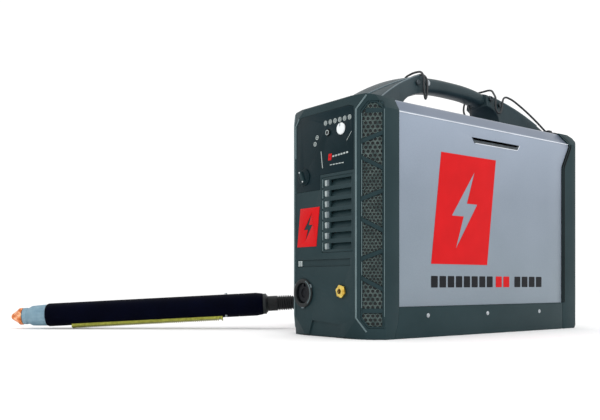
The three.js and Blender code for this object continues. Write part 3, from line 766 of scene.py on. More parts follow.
def dashes(start, end, count):
    """A run of plain dashes in (y, z), each filling most of its pitch."""
    pitch = (end - start) / count
    places = [start + pitch * k for k in range(count)]
    return [box_outline(y, 63.5, y + 0.78 * pitch, 78.5, 1.2) for y in places]


# ------------------------------------------------------------------ cover
def rear_edge(z):
    """Where the cover meets the rear bezel at a height."""
    corners = [(0, 180.3), (244, 180.3), (279, 199.3), (296, 184), (400, 184)]
    for (z0, y0), (z1, y1) in zip(corners, corners[1:]):
        if z <= z1:
            return y0 + (y1 - y0) * (z - z0) / (z1 - z0) - GAP
    return corners[-1][1] - GAP


SLOT_LOW, SLOT_HIGH = 259.0, 266.5
SLOT_Y = [(-26.5, -32.0), (69.0, 74.6)]  # at the lower and the upper edge


def make_cover():
    """The folded sheet, with round bends and a pressed slot in each side."""
    bends = [(COVER_HALF, 275), (COVER_HALF, 281.7), (76, 297.5), (66, BODY_TOP), (58, BODY_TOP)]
    rows = [(COVER_HALF, z) for z in (TRAY_TOP + GAP, 94, 150, 200, 244, SLOT_LOW, SLOT_HIGH)]
    rows += eased(bends, 3.2, False, 5) + [(30, BODY_TOP), (0, BODY_TOP)]
    rows += [(-x, z) for x, z in reversed(rows[:-1])]

    def columns(z):
        share = min(max((z - SLOT_LOW) / (SLOT_HIGH - SLOT_LOW), 0), 1)
        left, right = (low + (high - low) * share for low, high in SLOT_Y)
        return [FRONT_SEAM + GAP, -120, -70, left, -5, 20, 45, right, 100, 140, rear_edge(z)]

    verts = [(x, y, z) for x, z in rows for y in columns(z)]
    across = len(columns(0))
    faces = []
    for row in range(len(rows) - 1):
        slotted = {rows[row][1], rows[row + 1][1]} == {SLOT_LOW, SLOT_HIGH}
        for k in range(across - 1):
            if slotted and 3 <= k < 7:
                continue
            low, high = row * across + k, (row + 1) * across + k
            faces.append([low, low + 1, high + 1, high])
    sheet = publish("wrap_cover_sheet", (verts, faces), "cover_paint",
                    replaced=["wrap_cover"])
    thick = sheet.modifiers.new("thickness", "SOLIDIFY")
    thick.thickness = SHEET * MM
    thick.offset = 1 if sheet.data.polygons[0].normal.x < 0 else -1
    settle(sheet)
    bevel(sheet, 0.35, 2, 60)
    shade(sheet, 40)


def make_slot_lip(side, word):
    """The slot's pressed lip, a painted highlight along the slot's lower edge and right end, and a painted
    highlight along the upper bend.
    """
    (left, upper_left), (right, upper_right) = SLOT_Y
    edge = [(upper_left, SLOT_HIGH), (left, SLOT_LOW), (right, SLOT_LOW), (upper_right, SLOT_HIGH)]
    inner = [(upper_left + 2, SLOT_HIGH - 0.2), (left + 1.2, 263.8), (right - 1.2, 263.8),
             (upper_right - 2, SLOT_HIGH - 0.2)]
    outer_line = [(side * (COVER_HALF - 0.1), y, z) for y, z in eased(edge, 2, False, 4)]
    inner_line = [(side * (COVER_HALF - 2.4), y, z) for y, z in eased(inner, 2, False, 4)]
    count = len(outer_line)
    faces = [[k, k + 1, count + k + 1, count + k] for k in range(count - 1)]
    lip = publish(f"slot_lip_{word}", (outer_line + inner_line, faces), "dark_steel",
                  angle=50)
    thick = lip.modifiers.new("thickness", "SOLIDIFY")
    thick.thickness = 1.0 * MM
    thick.offset = 0
    settle(lip)
    shade(lip, 45)
    # painted highlights: light beads along the slot's rim and along the upper bend
    rim = pipe([Vector(point) for point in outer_line[5:]], 0.55, 8)  # from the lower left corner on
    bend = pipe([Vector((side * COVER_HALF, y, 281.9)) for y in (FRONT_SEAM + GAP + 0.3, 12, 196)], 0.7, 10)
    publish(f"cover_painted_highlights_{word}", together(rim, bend), "painted_bend_highlight")


def make_seam_shadow_strip():
    """A black strip of painted shadow along the joint between the cover and the rear bezel, up one side and
    down the other.
    """
    side = COVER_HALF - 0.5
    half = [(side, 180.3, TRAY_TOP + 0.6), (side, 180.3, 243), (side, 181.4, 247), (side, 198, 276.4),
            (side - 0.1, 199, 280.2), (82, 195.5, 286), (76.8, 186.2, 295), (73, 184, 298),
            (66, 184, BODY_TOP - 0.4)]
    path = [Vector(p) for p in half] + [Vector((-x, y, z)) for x, y, z in reversed(half)]
    # a second strip beside the first widens the painted shadow
    lip = [p + Vector((math.copysign(1.3, p.x), 3.1, 0)) for p in path]
    publish("seam_shadow_strip", together(pipe(path, 1.9, 10), pipe(lip, 1.7, 10)), "painted_seam_shadow")


# ------------------------------------------------------------------ bezels and tray
def make_housing():
    moulded("front_bezel", "front_bezel_moulding", "bezel_plastic", 1.3)
    moulded("rear_bezel", "rear_bezel_moulding", "bezel_plastic", 1.6)
    moulded("base_tray", "base_tray_moulding", "bezel_plastic", 0.9)
    make_cover()
    for side, word in ((1, "right"), (-1, "left")):
        make_slot_lip(side, word)
        make_side_print(side, word)
        make_vent(side, word)
    make_seam_shadow_strip()


VENT_LEFT, VENT_RIGHT, VENT_LOW, VENT_HIGH = 5.5, 33.5, 14.0, 291.0
VENT_CUT = 9.0  # the left corners are cut off over this width
VENT_DROP = 11.0  # and over this height
VENT_NOTCH = 8.0  # the upper right corner is cut off over this width and height
# height of each dividing bar at the strip's left and right edge
BARS = [(280.0, 280.0), (242.5, 253.0), (223.0, 209.0), (172.0, 182.5), (147.4, 133.0), (98.6, 109.0),
        (75.5, 61.0), (35.2, 35.2)]
BAR_HALF = 2.6
WIDE_PITCH, FINE_PITCH = 5.8, 4.6  # of the holes
FINE_SECTIONS = (3, 4, 5, 6)  # sections with the fine pitch, by the number of bars above them
LATTICE = 0.866  # row distance of a hexagonal pattern, as a share of its pitch


def in_vent(s, z, inset):
    """Whether a point of the slanted corner face is inside the strip's outline, by a margin."""
    if not VENT_LEFT + inset < s < VENT_RIGHT - inset or not VENT_LOW + inset < z < VENT_HIGH - inset:
        return False
    slope = VENT_DROP * (1 - (s - VENT_LEFT) / VENT_CUT)
    shoulder = max(0, s - VENT_RIGHT + VENT_NOTCH)
    return VENT_LOW + slope + inset < z < min(VENT_HIGH - slope, VENT_HIGH - shoulder) - inset


def on_bar(s, z, margin):
    share = (s - VENT_LEFT) / (VENT_RIGHT - VENT_LEFT)
    return any(abs(z - (low + (high - low) * share)) < margin for low, high in BARS)


def section_at(s, z):
    """The number of bars above a point of the strip."""
    share = (s - VENT_LEFT) / (VENT_RIGHT - VENT_LEFT)
    return sum(z < low + (high - low) * share for low, high in BARS)


def hex_ring(s, z, pitch):
    """The strand around one hexagonal hole: a ridge that falls away to the hole."""
    reach = pitch / math.sqrt(3)
    turns = [math.tau * (k + 0.5) / 6 for k in range(6)]
    rims = [(reach, -2.3), (reach * 0.86, -1.4), (reach * 0.70, -2.0), (reach * 0.68, -3.3)]
    verts = [(s + r * math.cos(a), h, z + r * math.sin(a)) for r, h in rims for a in turns]
    faces = []
    for ring in range(3):
        faces += [[ring * 6 + k, ring * 6 + (k + 1) % 6, ring * 6 + 6 + (k + 1) % 6, ring * 6 + 6 + k]
                  for k in range(6)]
    return verts, faces


def hex_mesh():
    """The perforated field of every section, wide or fine."""
    parts = []
    for pitch, fine in ((WIDE_PITCH, False), (FINE_PITCH, True)):
        rows = int((VENT_HIGH - VENT_LOW) / (pitch * LATTICE)) + 1
        across = int((VENT_RIGHT - VENT_LEFT) / pitch) + 2
        for row in range(rows):
            z = VENT_LOW + row * pitch * LATTICE
            for column in range(across):
                s = VENT_LEFT + (column + 0.5 * (row % 2)) * pitch
                if not in_vent(s, z, 0.4) or on_bar(s, z, BAR_HALF):
                    continue
                if fine == (section_at(s, z) in FINE_SECTIONS):
                    parts.append(hex_ring(s, z, pitch))
    return together(*parts)


def vent_bar(low, high):
    """A dividing bar with sloped edges, across the strip."""
    left, right = VENT_LEFT + 0.3, VENT_RIGHT - 0.3
    profile = [(-BAR_HALF - 0.6, -3.2), (-BAR_HALF, -0.9), (BAR_HALF, -0.9), (BAR_HALF + 0.6, -3.2)]
    if low == BARS[0][0]:  # the uppermost bar starts beside the cut corner
        left += 0.6 * VENT_CUT
    return loft([[(s, h, z + dz) for dz, h in profile] for s, z in ((left, low), (right, high))])


def vent_outline(inset):
    left, right = VENT_LEFT + inset, VENT_RIGHT - inset
    low, high = VENT_LOW + inset, VENT_HIGH - inset
    skew = inset * 0.35
    corner = left + VENT_CUT - skew
    return [(left, low + VENT_DROP - skew), (corner, low), (right, low), (right, high - VENT_NOTCH + skew),
            (right - VENT_NOTCH + skew, high), (corner, high), (left, high - VENT_DROP + skew)]


def vent_frame():
    """The strip's raised surround, lower on its inner side."""
    rims = [(-0.1, -3.2), (-0.1, -0.5), (0.6, -0.2), (1.5, -0.5), (2.1, -2.6), (2.1, -3.2)]
    rings = [[(s, h, z) for s, z in vent_outline(inset)] for inset, h in rims]
    return loft(rings + [rings[0]], False)


def make_vent(side, word):
    """A corner strip: mesh over a dark backing, dividing bars, its surround, and painted highlights: a light
    bead beside it along the corner's edge, and light lines beside the mesh sections.
    """
    backing = slab(vent_outline(0.2), "y", -3.6, -3.2)
    publish(f"vent_backing_{word}", on_corner(backing, side), "black_plastic")
    publish(f"vent_mesh_{word}", on_corner(hex_mesh(), side), "vent_mesh",
            replaced=[f"vent_strip_{word}"], angle=20)
    bars = [vent_bar(low, high) for low, high in BARS]
    publish(f"vent_bars_{word}", on_corner(together(*bars), side), "bezel_plastic",
            rounding=0.4)
    right, high, reach = VENT_RIGHT + 0.1, VENT_HIGH + 0.1, VENT_NOTCH + 0.7
    filler = slab([(right - reach, high), (right, high), (right, high - reach)], "y", -3.2, -1.9)
    publish(f"vent_surround_{word}", on_corner(together(vent_frame(), filler), side), "bezel_plastic",
            rounding=0.25)
    edge = [(12.4, 0.1, 298.6), (-0.4, 0.1, 281.5), (-0.4, 0.1, 26.5), (12.4, 0.1, 9.4)]
    # painted highlight: a light bead along the corner's edge
    bead = pipe([Vector(p) for p in edge], 1.15, 10)
    publish(f"corner_edge_highlight_{word}", on_corner(bead, side), "painted_edge_highlight")
    # painted highlights: light lines at the mesh sections' left edge and the strip's right edge
    spans = [(6.6, low, high) for low, high in mesh_spans()]
    spans.append((VENT_RIGHT + 0.7, VENT_LOW + 14, VENT_HIGH - 10))
    lines = [pipe([Vector((s, -0.1, z)) for z in (low, high)], 0.5, 8) for s, low, high in spans]
    publish(f"vent_lines_{word}", on_corner(together(*lines), side), "painted_edge_highlight")


def mesh_spans():
    """The stretches of the strip's left edge between the bars."""
    stops = [VENT_HIGH - VENT_DROP] + [low for low, _ in BARS] + [VENT_LOW + VENT_DROP]
    return [(low + 3.4, high - 3.4) for high, low in zip(stops, stops[1:]) if high - low > 12]


# ------------------------------------------------------------------ front panel
def countersunk(place, axis, radius=3.2):
    """A screw head: a raised middle on a rim that is flush with its surface."""
    profile = [(0, 0.9), (radius * 0.5, 0.9), (radius * 0.55, 0.1), (radius, 0), (radius, -1.2), (0, -1.2)]
    return lathe(eased(profile, 0.2, False), place, axis, 30)


def make_front_panel():
    moulded("control_overlay", "control_film", "panel_film", 0.25)
    holes = [box_outline(12, z - 4, 52, z + 4, 0.8) for z in LOUVRE_ROWS]
    plate = flat_shape([box_outline(-4, 108.5, 54.5, 204.5, 1.0)] + holes, 3.6)
    publish("louvre_frame", on_panel(plate, -2.2), "bezel_plastic",
            replaced=["louvre_panel"], rounding=0.4)
    dress("status_light_pipe", "lamp_lens")
    make_louvre_trim()
    make_icons()
    make_adjust_knob()
    make_mode_knob()
    make_gas_test_button()
    make_socket()
    make_stud()
    badge = emblem(-55, 117, -8.5, 168)
    publish("panel_badge", on_panel(flat_shape(badge, 0.7), 0.3), "red_print",
            rounding=0.12)
    make_panel_lines()


def make_louvre_trim():
    """Sloped vanes behind the slots, and at each slot's left end a painted highlight: a bright block, a
    dimmer block beside it and a fine light line left of those.
    """
    vanes, blocks, dull, lines = [], [], [], []
    for z in LOUVRE_ROWS:
        vane = [(-219.3, z - 4.6), (-217.7, z - 4.6), (-213.4, z + 4.6), (-215.0, z + 4.6)]
        vanes.append(slab(vane, "x", 11.5, 52.5))
        profile = [(PANEL_Y + 1.4, z - 4.2), (PANEL_Y - 0.9, z - 3.4), (PANEL_Y - 1.3, z + 3.4),
                   (PANEL_Y + 1.4, z + 4.2)]
        blocks.append(slab(profile, "x", 2.9, 6.6))
        dull.append(slab(profile, "x", 7.1, 10.2))
        lines.append(slab(box_outline(-2.8, z - 5.4, -1.6, z + 5.4), "y", PANEL_Y - 0.6, PANEL_Y + 1))
    publish("louvre_vanes", together(*vanes), "bezel_plastic", rounding=0.3)
    # painted highlights at the slots' left ends: a bright block, a dimmer block and a fine light line
    publish("louvre_painted_highlight", together(*blocks), "grey_plastic", rounding=0.35)
    publish("louvre_painted_highlight_dull", together(*dull), "button_grey", rounding=0.35)
    publish("louvre_lines", together(*lines), "painted_edge_highlight", rounding=0.2)


def make_icons():
    """Lamp rings, two small round symbols and short rules: generic marks, no lettering."""
    rings = []
    for place, x in enumerate(LAMPS):
        rings += [circle(x, LAMP_Z, 3.1), circle(x, LAMP_Z, 2.35)]
    for x, z in ((-13.6, 258), (-17.7, 250)):
        rings += [circle(x, z, 2.9), circle(x, z, 2.0)]
    marks = [stroke(-15.2, 258, -12.0, 258, 0.9), stroke(-17.7, 248.6, -17.7, 251.4, 0.9)]
    marks += [stroke(17 + 5.2 * k, 229.6 + 0.3 * k, 20.6 + 5.2 * k, 229.8 + 0.3 * k, 2.0) for k in range(6)]
    marks += [stroke(12 + 5.6 * k, 219.4, 16.0 + 5.6 * k, 219.4, 1.2) for k in range(5)]
    marks.append(stroke(44, 246, 53, 256, 0.5))
    marks.append(stroke(-5.6, 239, -2.6, 217, 1.1))
    plate = flat_shape(rings + marks, PROUD)
    publish("panel_marks", on_panel(plate, 0.2 + PROUD / 2), "grey_print")
    tag = emblem(8.6, 225.4, 15.6, 233.6)
    publish("panel_tag", on_panel(flat_shape(tag, PROUD), 0.2 + PROUD / 2), "red_print")
    lens = eased([(0, 0.5), (1.2, 0.4), (1.6, 0), (1.6, -0.4), (0, -0.4)], 0.3, False)
    lenses = [lathe(lens, (x, PANEL_Y - 0.2, LAMP_Z), FRONTWARD, 24) for x in LAMPS]
    publish("lamp_lenses", together(*lenses), "button_grey")


def make_panel_lines():
    """Lines of the front face: a painted highlight along the edge at its upper left, and the block in the
    channel.
    """
    # painted highlight along the panel's upper left edge
    edge = pipe([Vector((-58.6, PANEL_Y - 0.1, 236)), Vector((-58.6, PANEL_Y - 0.1, 279)),
                 Vector((-51.5, PANEL_Y - 0.1, 288.5))], 0.9, 10)
    publish("panel_edge_line", edge, "painted_edge_highlight")
    blocks = [slab(box_outline(x, 91.2, x + 3.2, 98.8), "y", PANEL_Y + 0.4, PANEL_Y + 3) for x in (-54.2,
                                                                                                   -49.8)]
    publish("channel_index", together(*blocks), "grey_plastic", rounding=0.4)
    floor = slab(box_outline(-54.6, 90.8, 49.6, 99.2), "y", PANEL_Y + 2.0, PANEL_Y + 2.35)
    publish("channel_floor", floor, "bezel_plastic")


def make_adjust_knob():
    """The white dial on its shaft, with a pointer."""
    x, z = KNOB
    dial = [(0, 3.0), (5.4, 3.0), (6.7, 2.6), (7.3, 1.9), (7.5, 0.4), (2.9, 0.4), (2.9, -6.6), (0, -6.6)]
    body = lathe(eased(dial, 0.6, False), (x, PANEL_Y - 0.2, z), FRONTWARD, 64)
    pointer = slab(box_outline(x - 0.6, z + 2.6, x + 0.6, z + 6.4, 0.5), "y", PANEL_Y - 3.35, PANEL_Y - 2.9)
    publish("adjust_knob_dial", body, "white_knob", "adjust_knob", ["adjust_knob"])
    publish("adjust_knob_pointer", pointer, "button_grey", "adjust_knob", rounding=0.15)


def make_mode_knob():
    """The low round knob, its slanted wing and the two light specks at the wing's ends."""
    x, z = MODE
    skirt = [(0, 3.4), (8.2, 3.4), (9.4, 2.9), (9.9, 1.8), (11, 1.2), (11, 0.4), (2.9, 0.4), (2.9, -6.6),
             (0, -6.6)]
    body = lathe(eased(skirt, 0.6, False), (x, PANEL_Y - 0.2, z), FRONTWARD, 64)
    slant = Matrix.Translation((x, 0, z)) @ Matrix.Rotation(math.radians(-28), 4, "Y")
    wing = moved(slab(box_outline(-2.3, -8.6, 2.3, 8.6, 1.6), "y", PANEL_Y - 6.4, PANEL_Y - 2.6), slant)
    publish("mode_knob_body", body, "panel_film", "mode_knob", ["mode_knob"])
    publish("mode_knob_wing", wing, "bezel_plastic", "mode_knob", rounding=0.9)
    squares = [box_outline(-0.9, v - 0.9, 0.9, v + 0.9, 0.5) for v in (-7, 7)]
    specks = together(*[slab(square, "y", PANEL_Y - 6.6, PANEL_Y - 6.2) for square in squares])
    publish("mode_knob_specks", moved(specks, slant), "white_print", "mode_knob")


def make_gas_test_button():
    """The dished button with its retaining collar, and the ring printed on it."""
    x, z = BUTTON
    profile = [(0, 1.7), (1.6, 1.9), (3.4, 2.2), (4.1, 1.6), (4.1, -4.0), (5.4, -4.0), (5.4, -5.8),
               (0, -5.8)]
    cap = lathe(eased(profile, 0.5, False), (x, PANEL_Y, z), FRONTWARD, 48)
    publish("gas_test_cap", cap, "black_plastic", "gas_test_button", ["gas_test_button"])
    ring = flat_shape([circle(x, z, 3.3), circle(x, z, 2.4)], PROUD)
    publish("gas_test_ring", on_panel(ring, 2.1), "grey_print", "gas_test_button")


def make_socket():
    """The round work lead socket: flange, recessed insert with its key, bayonet lugs and a painted highlight
    on its rim.
    """
    x, z = SOCKET
    centre = (x, PANEL_Y, z)
    ring = [(13.6, 2.2), (14.6, 3.0), (17.6, 3.0), (19, 1.9), (19, 0.35), (17, 0.35), (17, -10.6),
            (13.5, -10.6), (13.6, 2.2)]
    flange = lathe(eased(ring, 0.5, False), centre, FRONTWARD, 72)
    publish("work_socket_flange", flange, "black_plastic", replaced=["work_lead_socket"])
    insert = [(0, -2.4), (5.6, -2.4), (6.2, -0.4), (12.2, -0.4), (13.1, -1.4), (13.1, -8), (0, -8)]
    core = lathe(eased(insert, 0.5, False), centre, FRONTWARD, 64)
    key = slab(box_outline(x - 1.9, z + 8.6, x + 1.9, z + 12.4, 0.5), "y", PANEL_Y - 1.6, PANEL_Y + 1)
    publish("work_socket_insert", together(core, key), "dark_print",
            replaced=["work_lead_insert"])
    lugs = []
    for place in range(3):
        turn = Matrix.Rotation(math.radians(90 + 120 * place), 4, "Y")
        lug = slab(box_outline(17.6, -2.6, 20.2, 2.6, 0.8), "y", -2.2, -0.35)
        lugs.append(moved(lug, Matrix.Translation(centre) @ turn))
    publish("work_socket_lugs", together(*lugs), "button_grey", rounding=0.3)
    # painted highlight on the socket's rim
    turns = [math.radians(-50 + 5 * k) for k in range(24)]
    arc = [Vector((x + 17.2 * math.cos(a), PANEL_Y - 2.9, z + 17.2 * math.sin(a))) for a in turns]
    publish("work_socket_highlight", pipe(arc, 0.55, 8), "painted_edge_highlight")


def make_stud():
    """The brass ground stud: a chamfered hexagon around a threaded bore."""
    x, z = STUD
    centre = (x, PANEL_Y, z)
    profile = [(3.3, 3.8), (7.9, 3.8), (8.8, 2.9), (8.8, 0.4), (5, 0.4), (5, -17), (3.3, -17), (3.3, 3.8)]
    flats = lathe(profile, centre, FRONTWARD, 6)
    publish("ground_stud_hex", flats, "brass", replaced=["ground_stud"], rounding=0.35)
    collar = eased([(3.5, 4.6), (5.6, 4.6), (6.4, 3.9), (6.4, 2), (3.5, 2), (3.5, 4.6)], 0.3, False)
    publish("ground_stud_collar", lathe(collar, centre, FRONTWARD, 40), "brass")
    thread = [(3.55 - 0.5 * (k % 2), 4.4 - 0.55 * k) for k in range(22)]
    bore = lathe(thread + [(0, -8)], centre, FRONTWARD, 32)
    publish("ground_stud_bore", bore, "dark_steel")


# ------------------------------------------------------------------ handle and its ties
def half_width_at(y):
    """Half the handle's width: straight in the middle, wider towards each foot."""
    reach = abs(y)
    if reach < 70:
        return 16
    if reach < 110:
        return 16 + (reach - 70) * 0.16
    return 22.4 + (reach - 110) * 0.2


def ridge_at(y):
    """The height of the handle's crest."""
    if y < 20:
        return GRIP_TOP - 66 * (abs(min(y, 0)) / 200) ** 2.2
    return GRIP_TOP - 52 * ((y - 20) / 180) ** 2.1


def arch_at(y):
    """The opening under the grip: a long slope at the front and a squarer end at the rear."""
    reach, power = (122, 2.2) if y < ARCH_MIDDLE else (92, 3.2)
    along = min(abs(y - ARCH_MIDDLE) / reach, 1)
    return BODY_TOP + GAP + 41.5 * (1 - along ** power) ** (1 / power)


def drop_at(y):
    """How far the shoulders lie below the crest."""
    return max(0, min(20 if y < 0 else 4, (abs(y) - 60) * 0.2))


def edge_at(y):
    low = arch_at(y)
    return max(max(ridge_at(y), low + 3) - drop_at(y), low + 1.5)


def leg_section(y):
    """Crowned on top, with sides that flare to the foot."""
    low, edge, width = arch_at(y), edge_at(y), half_width_at(y)
    ridge = max(ridge_at(y), low + 3)
    shares = [1 - step / 8 for step in range(17)]
    crown = [(across * width, edge + (ridge - edge) * (1 - across * across)) for across in shares]
    wall = [(width + 2 * (1 - share), low + (edge - low) * share) for share in (0, 0.3, 0.7)]
    left = [(-x, z) for x, z in reversed(wall)]
    return [(x, y, z) for x, z in wall + crown + left]


def make_leg(name, node, foot, seam):
    stations = [foot + (seam - foot) * k / 44 for k in range(45)]
    part = loft([leg_section(y) for y in stations])
    publish(name, part, "grip_plastic", replaced=[node], rounding=1.1, segments=3,
            angle=32)


def make_grip():
    """The grip: a rounded bar that fits between the legs, with a faint waist at each joint."""
    rings = []
    for k in range(61):
        y = FRONT_GRIP_SEAM + GAP + (REAR_GRIP_SEAM - FRONT_GRIP_SEAM - 2 * GAP) * k / 60
        low, high = arch_at(y) + 0.6, ridge_at(y) - 0.6
        nearest = min(y - FRONT_GRIP_SEAM, REAR_GRIP_SEAM - y)
        waist = 1 - 0.05 * math.exp(-((nearest - 3) / 1.6) ** 2)
        ring = []
        for step in range(36):
            a = math.tau * step / 36
            across, up = (math.copysign(abs(f(a)) ** 0.75, f(a)) for f in (math.cos, math.sin))
            ring.append((across * 15 * waist, y, (low + high) / 2 + up * waist * (high - low) / 2))
        rings.append(ring)
    publish("handle_grip_bar", loft(rings), "grip_plastic", replaced=["handle_grip"],
            rounding=0.6, angle=50)


def make_leg_ribs():
    """Moulded ribs on both legs: one along each shoulder, and one that runs in from the foot beside it."""
    for word, start, end in (("front", -186, -60), ("rear", 186, 92)):
        ribs = []
        for side in (1, -1):
            stations = [start + (end - start) * k / 24 for k in range(25)]
            outer = [Vector((side * (half_width_at(y) - 1.4), y, edge_at(y) + 0.5)) for y in stations]
            ribs.append(pipe(outer, 1.2, 8))
            inner = []
            for k, y in enumerate(stations):
                share = 0.45 * (1 - k / 24) + 0.1
                width = half_width_at(y)
                ridge = max(ridge_at(y), arch_at(y) + 3)
                across = 1 - share
                lift = edge_at(y) + (ridge - edge_at(y)) * (1 - across * across)
                inner.append(Vector((side * across * width, y, lift + 0.05)))
            ribs.append(pipe(inner, 1.0, 8))
        # the ribs' lighter colour is a painted highlight along the ridge lines
        publish(f"handle_{word}_ribs", together(*ribs), "rib_painted_highlight")


# y, z and half the length of each bolt
HANDLE_BOLTS = [(-65.5, 348.5, 18.2), (-43, 352, 15.2), (91, 349, 21.6), (109, 341.5, 24.5)]
BRIGHT_BOLT = 2


def make_bolts():
    """Each cross bolt: a socket head at both ends of a shank. One is larger and bright."""
    for place, (y, z, half) in enumerate(HANDLE_BOLTS, 1):
        wide, finish = (4.4, "zinc_steel") if place == BRIGHT_BOLT else (3.8, "dark_steel")
        profile = [(0, 0.9), (2.1, 0.9), (2.3, 1.6), (wide - 0.8, 1.4), (wide - 0.1, 0.9), (wide, 0.2),
                   (3, 0), (3, -6), (0, -6)]
        head = eased(profile, 0.35, False)
        ends = [lathe(head, (side * (half + 0.3), y, z), (side, 0, 0), 36) for side in (1, -1)]
        shank = lathe([(0, 0), (3, 0), (3, 2 * half), (0, 2 * half)], (-half, y, z), (1, 0, 0), 24)
        publish(f"handle_bolt_{place}_head", together(*ends, shank), finish,
                replaced=[f"handle_bolt_{place}"])


FRONT_TIE = [(-21.4, -54, 341), (-21.4, -54.5, 353), (-16.5, -55.5, 363.4), (-5, -56, 366.6),
             (6, -56, 367.2), (15.6, -56.4, 365), (21.4, -57.6, 356.5), (22.6, -59, 346), (23, -58, 333),
             (22.8, -55.6, 326.5), (22.4, -52.6, 331.5), (21.8, -50.8, 345), (20, -50.2, 355.6),
             (12.6, -50, 363), (1, -50, 364.2), (-11, -50, 363), (-19.4, -50.2, 354.5)]
REAR_TIE = [(0, 66, 338.5), (4, 64, 330), (6, 63, 321.5), (3, 67, 317), (-4, 72, 318.5), (-14, 76, 325),
            (-21, 79, 335), (-22.4, 82, 346), (-21.2, 86.5, 355.5), (-17, 91, 361), (-9, 97, 364),
            (0, 101, 365.4), (8, 102, 365.8), (15.5, 100.5, 363.5), (21.6, 97.5, 357.5),
            (27.4, 94.5, 349.5), (28.6, 92.8, 341), (28.6, 93.4, 333), (28.8, 98, 327.2),
            (29.8, 103, 328.4), (30.2, 106, 336), (30.2, 107.5, 344), (29.6, 111, 350.5),
            (29.2, 117, 353.3), (30, 124, 352.6), (33, 133, 348.5), (39.6, 151, 336), (46.6, 169, 321),
            (53, 184, 306.5)]


def make_ties():
    """The coated wire ties, each with a cap on its first end, and the clip that holds the tail."""
    cap = eased([(0, 0.6), (1.3, 0.6), (1.9, 0), (1.9, -4), (0, -4)], 0.4, False)
    for node, points in (("front_tie", FRONT_TIE), ("rear_tie", REAR_TIE)):
        path = smooth_path(points, 8)
        wire = together(pipe(path, 1.5, 14), lathe(cap, path[0], path[0] - path[2], 20))
        publish(f"{node}_wire", wire, "wire_coat", replaced=[node])
    clip = slab(box_outline(47, 185, 59, 195, 2.2, 4), "z", BODY_TOP + GAP, BODY_TOP + 6.4)
    publish("tie_clip", clip, "black_plastic", replaced=["tie_anchor"], rounding=1.2,
            segments=3)


def make_handle():
    make_leg("handle_front_leg_moulding", "handle_front_leg", -198, FRONT_GRIP_SEAM)
    make_leg("handle_rear_leg_moulding", "handle_rear_leg", 200, REAR_GRIP_SEAM)
    make_grip()
    make_leg_ribs()
    make_bolts()
    make_ties()


# ------------------------------------------------------------------ rear panel
ROCKER = (50.0, 262.0)
MAINS = (48.0, 62.0)
AIR = (-46.0, 74.0)


def gland(place, axis, scale=1.0):
    """A cable gland: hexagonal body and knurled dome nut."""
    body = lathe([(0, 0), (13, 0), (13, 4.6), (0, 4.6)], place, axis, 6)
    along = Vector(axis).normalized()
    start = Vector(place) + along * 5.0
    across = along.orthogonal().normalized()
    other = along.cross(across)
    rings = []
    for height, grow in ((0, 0.92), (1, 1), (6.5, 1), (9.0, 0.9), (10.4, 0.74)):
        ring = []
        for k in range(72):
            a = math.tau * k / 72
            radius = 13.4 * scale * grow - (0.7 if k % 4 < 2 and 0 < height < 9 else 0)
            ring.append(start + along * height + radius * (across * math.cos(a) + other * math.sin(a)))
        rings.append(ring)
    return together(body, loft(rings))


def make_grille():
    """The fan grille: nine rows of slots, each split in three by two upright ribs."""
    outline = box_outline(-54.6, FAN_Z - 54.6, 54.6, FAN_Z + 54.6, 11.6, 8)
    slots = []
    for row in range(9):
        z = FAN_Z + (row - 4) * 10.4
        reach = math.sqrt(52 ** 2 - (z - FAN_Z) ** 2) - 4
        for left, right in ((-reach, -19.5), (-16.5, 16.5), (19.5, reach)):
            slots.append(box_outline(left, z - 3.2, right, z + 3.2, 1.0))
    verts, faces = flat_shape([outline] + slots, 2.8)
    plate = [(u, REAR_Y - 2.0 + h, v) for u, v, h in verts], faces
    publish("rear_grille_plate", plate, "black_plastic", replaced=["rear_grille"],
            rounding=0.4)


def make_rear_panel():
    make_grille()
    moulded("rocker_frame", "rocker_surround", "black_plastic", 0.6)
    moulded("power_rocker", "power_rocker_cap", "rocker_red", 0.8, "power_rocker")
    moulded("port_cover", "port_cover_lid", "black_plastic", 0.9)
    make_rocker_marks()
    make_mains_gland()
    make_air_fitting()
    make_screws()
    make_rear_trim()


def make_rocker_marks():
    """The line and the ring that stand for on and off, on the rocker's two faces."""
    x, z = ROCKER
    tilt = Matrix.Translation((x, REAR_Y, z)) @ Matrix.Rotation(math.radians(8), 4, "X")
    slope = 1.4 / 7.1  # of each face, rising from the rocker's middle
    line = [box_outline(-0.5, 2.6, 0.5, 5.6)]
    ring = [circle(0, -4.1, 1.8, 24), circle(0, -4.1, 1.1, 24)]
    plates = []
    for outlines in (line, ring):
        verts, faces = flat_shape(outlines, 0.16)
        plates.append(([(u, 1.62 + abs(v) * slope + h, v) for u, v, h in verts], faces))
    publish("rocker_marks", moved(together(*plates), tilt), "white_print", "power_rocker")


def make_mains_gland():
    """The empty mains gland: its nut, its rubber bush, and a near-black plug in the bore that is painted
    shade.
    """
    place = (MAINS[0], REAR_Y + 0.4, MAINS[1])
    publish("mains_gland_nut", gland(place, REARWARD), "black_plastic",
            replaced=["mains_gland"], rounding=0.3)
    profile = [(6.6, 4), (9.6, 4), (9.6, 16.5), (8.4, 18.6), (7.0, 18.6), (6.6, 17.8), (6.6, 4)]
    bush = lathe(eased(profile, 0.4, False), place, REARWARD, 40)
    publish("mains_gland_bush", bush, "rubber")
    # painted shade: a near-black plug fills the empty bore
    bore = lathe([(0, 8), (6.8, 8), (6.8, 15), (0, 15)], place, REARWARD, 32)
    publish("mains_gland_bore", bore, "dark_print")


